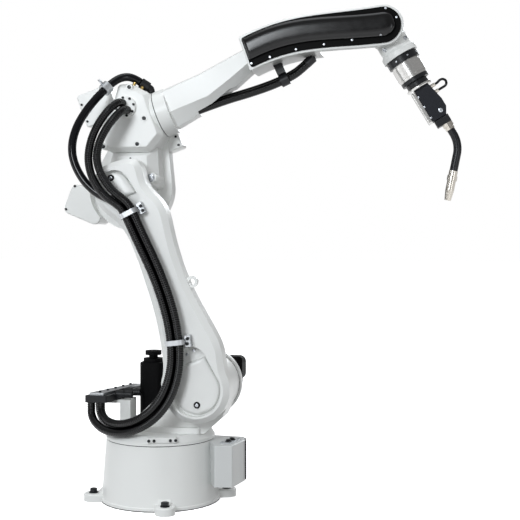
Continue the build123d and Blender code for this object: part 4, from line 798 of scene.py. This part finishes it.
# Polished ABS gives long clean reflections: the dark studio in the panel's upper half, the floor below.
polished_abs = dark_skin("polished_black_abs", "#050506", "#09090b", roughness=0.2, grain=30.0, relief=0.03,
                         ior=1.37)
PANEL_START = 612.0
PANEL_NOSE = 1093.0
PANEL_NOSE_RADIUS = 40.0
PANEL_PROBE = -104.0
PANEL_FOOT = -99.0
PANEL_DOME = 32.0
PANEL_MARGIN = 4.0
PANEL_START_MARGIN = 8.0
PANEL_CORNER = 9.0
PANEL_ROUNDS = (14.0, 34.0)
PANEL_WALL = 2.5
NOSE_INSET = 0.05
NOSE_SHARE = PANEL_NOSE_RADIUS / (PANEL_NOSE_RADIUS + PANEL_MARGIN)


def panel_edges(along):
    """The panel's upper and lower edge, a margin outside the raised panel of the solid."""
    hands = (1, -1)
    if along < PANEL_NOSE:
        probe = max(along, PANEL_START + PANEL_CORNER)
        return [link_edge("belt_cover", "forearm_roll", FOREARM_ANGLE, probe, PANEL_PROBE, hand)
                + hand * PANEL_MARGIN for hand in hands]
    probe = min(PANEL_NOSE + (along - PANEL_NOSE) * NOSE_SHARE, PANEL_NOSE + PANEL_NOSE_RADIUS - NOSE_INSET)
    return [link_edge("belt_cover", "forearm_roll", FOREARM_ANGLE, probe, PANEL_PROBE, hand) / NOSE_SHARE
            for hand in hands]


PANEL_REACH = (PANEL_START - PANEL_START_MARGIN, PANEL_NOSE + PANEL_NOSE_RADIUS + PANEL_MARGIN)
panel = domed("belt_cover_panel", "forearm_roll", FOREARM_ANGLE, PANEL_REACH, panel_edges, PANEL_ROUNDS,
              PANEL_FOOT, PANEL_DOME, PANEL_WALL)
panel.data.materials.append(polished_abs)
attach(panel, "forearm")
RIM_SCREW = (4, 3)
RIM_OFFSETS = [(553.1, 467.0), (647.4, 492.2), (748.4, 507.1), (848.5, 520.0), (950.5, 533.8), (1005.4, 595.9),
               (967.3, 629.2), (486.0, 446.0)]
cover_rim_spots = from_joint("elbow", "belt_cover", RIM_OFFSETS)
set_in("belt_cover_screws", socket_screw(*RIM_SCREW), cover_rim_spots, zinc, "forearm")


# The wrist: a white casting that swings beside the belt cover, with two bolts on its shoulders and a
# screwed black anodised ring at its nose.
finish(casting_coat, "wrist_housing")
# Black anodising gives a deep satin black with a tight highlight; its grain is drawn coarse to show.
anodised = dark_skin("black_anodised_aluminium", "#111215", "#1a1c1f", roughness=0.32, grain=2.0, relief=0.1)
finish(anodised, "wrist_ring")
TOOL_ANGLE = -59.3
WRIST_BOLT = (6.5, 7)
wrist_spots = from_joint("wrist_bend", "wrist_housing", [(72, -37), (72, 44)], TOOL_ANGLE)
set_in("wrist_bolts", socket_screw(*WRIST_BOLT), wrist_spots, zinc, "wrist")
RING_SCREW = (3.2, 2)
RING_SCREW_ALONG = 132
RING_SCREW_START = 20
RING_SCREW_COUNT = 8
BEYOND_RING = 0.2
tool_axis = Vector((math.cos(math.radians(TOOL_ANGLE)), 0, math.sin(math.radians(TOOL_ANGLE))))
ring_centre = joints["wrist_bend"] + tool_axis * RING_SCREW_ALONG * MM
ring_spots = []
for index in range(RING_SCREW_COUNT):
    turn = math.radians(RING_SCREW_START + 360 / RING_SCREW_COUNT * index)
    outward = tool_axis.cross(FAR) * math.cos(turn) + FAR * math.sin(turn)
    ring_spots.append(on_face("wrist_ring", ring_centre + outward * BEYOND_RING, -outward))
set_in("ring_screws", socket_screw(*RING_SCREW), ring_spots, zinc, "wrist")


# The tool: a turned steel flange, a black breakaway collar and a steel clamp ring that carry the torch
# block.  The block is glass-filled nylon screwed to a machined plate, and the neck is a copper tube in a
# black sleeve with nickel-plated ends.
finish(anodised, "shock_collar", "torch_grip")
# Turned steel gives bright and dark bands round the flange.
turned_steel = bare_metal("turned_steel", "#c2c1bf", "#aeadab", roughness=0.22, line_pitch=8.0,
                          stretch=(1.0, 0.2, 1.0))
finish(turned_steel, "tool_flange", "torch_clamp_ring", "torch_side_plate")
# Glass-filled nylon gives a dull, faintly blue black with a dry grain, drawn coarse to show.
glass_nylon = dark_skin("navy_glass_nylon", "#0c0e14", "#12151d", roughness=0.5, grain=3.0, relief=0.2, ior=1.28)
finish(glass_nylon, "torch_body")
# Nickel plate gives a warm, bright metal with soft streaks along the nozzle.
nickel_brass = bare_metal("nickel_plated_brass", "#bcb7af", "#a8a39b", roughness=0.22, line_pitch=10.0,
                          stretch=(1.0, 1.0, 0.4))
finish(nickel_brass, "torch_fitting", "nozzle_holder", "gas_nozzle", "torch_plugs")
# Shrink sleeve gives a smooth black with one long highlight and slight ripples.
finish(dark_skin("black_shrink_sleeve", "#0c0d10", "#15161b", roughness=0.3, grain=6.0, relief=0.15),
       "torch_neck")
TORCH_SCREW = (3.5, 3)
TORCH_SCREW_OFFSETS = [(123.4, -252.2), (144.9, -287.3), (168.7, -325.3)]
torch_spots = from_joint("wrist_bend", "torch_body", TORCH_SCREW_OFFSETS)
set_in("torch_screws", socket_screw(*TORCH_SCREW), torch_spots, zinc, "tool")
TORCH_CAP_SCREW = (8, 4)
torch_cap_spots = from_joint("wrist_bend", "torch_body", [(201.9, -299.0)])
set_in("torch_cap_screw", socket_screw(*TORCH_CAP_SCREW), torch_cap_spots, zinc, "tool")


# The hoses: two ribbed nylon conduits and one smooth rubber hose from the manifold over the shoulder to
# the elbow, and two ribbed conduits under the forearm.  Each stretch between two clamps is one piece, and
# a ribbed rubber boot guards the smooth hose where it enters the top gland.
HOSE_RADIUS = 15 * MM
HOSE_SIDES = 20
RIB_DEPTH = 1.0 * MM
RIB_PITCH = 8 * MM
RIB_PROFILE = (0.0, 0.15, 0.5, 0.85, 1.0, 0.85, 0.5, 0.15)
RIBBED = tuple(HOSE_RADIUS - RIB_DEPTH * share for share in RIB_PROFILE)
SMOOTH = (HOSE_RADIUS,)
BOOT_STEP = RIB_PITCH / 4
ROUTE_FINENESS = 24
# Route points in millimetres from the shoulder's axis, for the stretches over the shoulder and on the arm,
# and from the elbow's axis, for the others.
SHOULDER_ROUTES = {
    "a": ((-79, -232, 173), (-76, -232, 147), (-78, -232, 80), (-97, -232, 11), (-126, -231, -40),
          (-168, -226, -83), (-222, -213, -114), (-279, -188, -129), (-329, -154, -128),
          (-363, -116, -116), (-378, -92, -98), (-380, -85, -84), (-380, -85, -66.4)),
    "b": ((-49, -232, 175), (-46, -232, 149), (-48, -232, 75), (-68, -232, 0), (-101, -231, -59),
          (-149, -226.5, -108), (-210, -214, -143), (-278, -189.5, -162), (-344, -160, -158),
          (-392, -124, -136), (-414, -97, -112), (-418, -85, -88), (-418, -85, -66.4)),
    "c": ((-64, -205.5, 174), (-61, -205.5, 148), (-63, -205.5, 77), (-82, -205.5, 5), (-114, -205, -50),
          (-158, -198, -94.5), (-216, -184.5, -127), (-281, -158.5, -144), (-333, -123, -147),
          (-373, -82, -134), (-394, -54, -110), (-399, -46, -86), (-399, -46, -66.4)),
}
ARM_ROUTES = {
    "a": ((-201, -232, 529), (-166, -232, 459), (-135, -232, 389), (-110, -232, 319),
          (-91, -232, 250), (-82, -232, 199)),
    "b": ((-173, -232, 543), (-138, -232, 472), (-107, -232, 400), (-81, -232, 329),
          (-61, -232, 257), (-52, -232, 201)),
    "c": ((-187, -205.5, 536), (-152, -205.5, 465), (-121, -205.5, 395), (-96, -205.5, 324),
          (-76, -205.5, 254), (-67, -205.5, 200)),
}
ELBOW_ROUTES = {
    "a": ((53, -232, -103), (42, -232, -81), (20, -236, -62), (-13, -238, -40), (-45, -236, -8),
          (-74, -230, 40), (-90, -219, 104), (-81, -207, 173), (-56, -195, 232), (-25, -182, 278),
          (-1, -158, 306), (4, -126, 312), (4, -100.4, 312)),
    "b": ((80, -232, -89), (69, -232, -67), (48, -236, -45), (17, -238, -23), (-13, -236, 9),
          (-43, -229, 54), (-59, -218, 107), (-51, -206, 163), (-28, -194, 213), (-3, -181, 250),
          (18, -158, 279), (22, -126, 286), (22, -100.4, 286)),
    "c": ((66, -205.5, -96), (55, -205.5, -74), (35, -205.5, -59), (7, -205.5, -49), (-30, -205.5, -39),
          (-73, -205.5, -15), (-116, -204.5, 29), (-149, -199, 88), (-161, -190, 148), (-151, -174, 213),
          (-123, -149, 277), (-83, -118, 338), (-59, -97, 368)),
}
TOP_ROUTE = ((-59, -97, 368), (-39, -79.5, 393), (-9, -57, 414), (25, -38, 415), (53, -26, 396))
BOOT_ROUTE = ((74, -17, 382), (86, -12, 374), (90, -10, 362), (90, -10, 338))
FOREARM_ROUTE = ((270, 294), (367, 328), (462, 353), (555, 383), (629, 417), (664, 446), (675, 456))
FOREARM_STEP = 14.2
FOREARM_RISE = 6.0
ARM_EXIT_SHARE = 0.73


def routed(joint, offsets):
    """Route points in metres from offsets in millimetres from a joint's axis."""
    return [joints[joint] + Vector(offset) * MM for offset in offsets]


def route_line(points):
    """Points along the smooth line of a route, a NURBS curve with the route's own points as control points."""
    data = bpy.data.curves.new("hose_route", "CURVE")
    data.dimensions = "3D"
    data.resolution_u = ROUTE_FINENESS
    spline = data.splines.new("NURBS")
    spline.points.add(len(points) - 1)
    for target, point in zip(spline.points, points):
        target.co = (*point, 1.0)
    spline.order_u = 3
    spline.use_endpoint_u = True
    holder = bpy.data.objects.new("hose_route", data)
    scene.collection.objects.link(holder)
    bpy.context.view_layer.update()
    mesh = bpy.data.meshes.new_from_object(holder)
    line = [vertex.co.copy() for vertex in mesh.vertices]
    bpy.data.objects.remove(holder)
    bpy.data.meshes.remove(mesh)
    return line


def tube(name, line, step, radii):
    """A closed tube along a line, with a ring every step, whose radii repeat from ring to ring."""
    lengths = [0.0]
    for first, second in zip(line, line[1:]):
        lengths.append(lengths[-1] + (second - first).length)
    count = round(lengths[-1] / step)
    skin = []
    index = 0
    side = None
    for ring in range(count + 1):
        run = lengths[-1] * ring / count
        while index < len(line) - 2 and lengths[index + 1] < run:
            index += 1
        part = (run - lengths[index]) / (lengths[index + 1] - lengths[index])
        centre = line[index].lerp(line[index + 1], part)
        ahead = (line[index + 1] - line[index]).normalized()
        side = side or ahead.orthogonal()
        side = (side - ahead * side.dot(ahead)).normalized()
        across = ahead.cross(side)
        radius = radii[ring % len(radii)]
        for corner in range(HOSE_SIDES):
            turn = 2 * math.pi * corner / HOSE_SIDES
            skin.append(centre + (side * math.cos(turn) + across * math.sin(turn)) * radius)
    faces = []
    for ring in range(count):
        low, high = ring * HOSE_SIDES, (ring + 1) * HOSE_SIDES
        for corner in range(HOSE_SIDES):
            after = (corner + 1) % HOSE_SIDES
            faces.append((low + corner, low + after, high + after, high + corner))
    faces.append(tuple(reversed(range(HOSE_SIDES))))
    faces.append(tuple(range(count * HOSE_SIDES, (count + 1) * HOSE_SIDES)))
    mesh = bpy.data.meshes.new(name)
    mesh.from_pydata(skin, [], faces)
    mesh.shade_smooth()
    piece = bpy.data.objects.new(name, mesh)
    scene.collection.objects.link(piece)
    return piece


boot = tube("top_gland_boot", route_line(routed("elbow", BOOT_ROUTE)), BOOT_STEP, RIBBED)
boot.data.materials.append(soft_black)
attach(boot, "elbow")

hose_routes = {}
for key in "abc":
    over_shoulder = routed("shoulder", SHOULDER_ROUTES[key])
    round_elbow = routed("elbow", ELBOW_ROUTES[key])
    leaving = round_elbow[0] + (round_elbow[0] - round_elbow[1]) * ARM_EXIT_SHARE
    along_arm = [round_elbow[0], leaving, *routed("shoulder", ARM_ROUTES[key]), over_shoulder[0]]
    hose_routes[f"hose_{key}_shoulder"] = over_shoulder, ("turret", "lower_arm")
    hose_routes[f"hose_{key}_arm"] = along_arm, ("lower_arm",)
    hose_routes[f"hose_{key}_elbow"] = round_elbow, ("elbow", "lower_arm")
hose_routes["hose_c_top"] = routed("elbow", TOP_ROUTE), ("elbow",)
forearm_up = Vector((-math.sin(math.radians(FOREARM_ANGLE)), 0, math.cos(math.radians(FOREARM_ANGLE))))
for key, hand in (("d", -1), ("e", 1)):
    lift = forearm_up * hand * FOREARM_RISE
    offsets = [Vector((x, hand * FOREARM_STEP, z)) + lift for x, z in FOREARM_ROUTE]
    hose_routes[f"hose_{key}_forearm"] = routed("elbow", offsets), ("forearm",)

# Ribbed conduit gives a deep black on which each rib catches the light as a short dash.
ribbed_nylon = dark_skin("ribbed_nylon_conduit", "#010102", "#030304", roughness=0.09, grain=5.0, relief=0.02,
                         ior=1.31)
# A smooth rubber jacket gives one long soft highlight along the hose.
smooth_rubber = dark_skin("smooth_rubber_hose", "#050507", "#0b0c11", roughness=0.14, grain=8.0, relief=0.03,
                          ior=1.28)
# A hose that runs between two bodies is baked where it lies and rides on neither body.
for name, (points, bodies) in hose_routes.items():
    line = route_line(points)
    smooth = name.startswith("hose_c")
    step, radii = (RIB_PITCH, SMOOTH) if smooth else (RIB_PITCH / len(RIB_PROFILE), RIBBED)
    piece = tube(name + "_skin", line, step, radii)
    piece.data.materials.append(smooth_rubber if smooth else ribbed_nylon)
    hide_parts(name)
    if len(bodies) == 1:
        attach(piece, bodies[0])
    else:
        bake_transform(piece)


# The sensing lead beside the torch: a short lead in a smooth rubber jacket, looped between two
# nickel-plated plugs on the torch block.
LEAD = (4.6 * MM,)
LEAD_STEP = 2 * MM
LEAD_ROUTE = ((268, 52, 12), (268, 62, 12), (263, 74, 13), (267, 87, 14), (280, 92, 14), (292, 84, 13),
              (292, 67, 12), (292, 52, 12))
lead_points = []
for along, across, near in LEAD_ROUTE:
    x, z = along_link("wrist_bend", TOOL_ANGLE, along, across)
    lead_points.append(Vector((x, joints["wrist_bend"].y - near * MM, z)))
lead_skin = tube("torch_lead_skin", route_line(lead_points), LEAD_STEP, LEAD)
lead_skin.data.materials.append(smooth_rubber)
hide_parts("torch_lead")
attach(lead_skin, "tool")
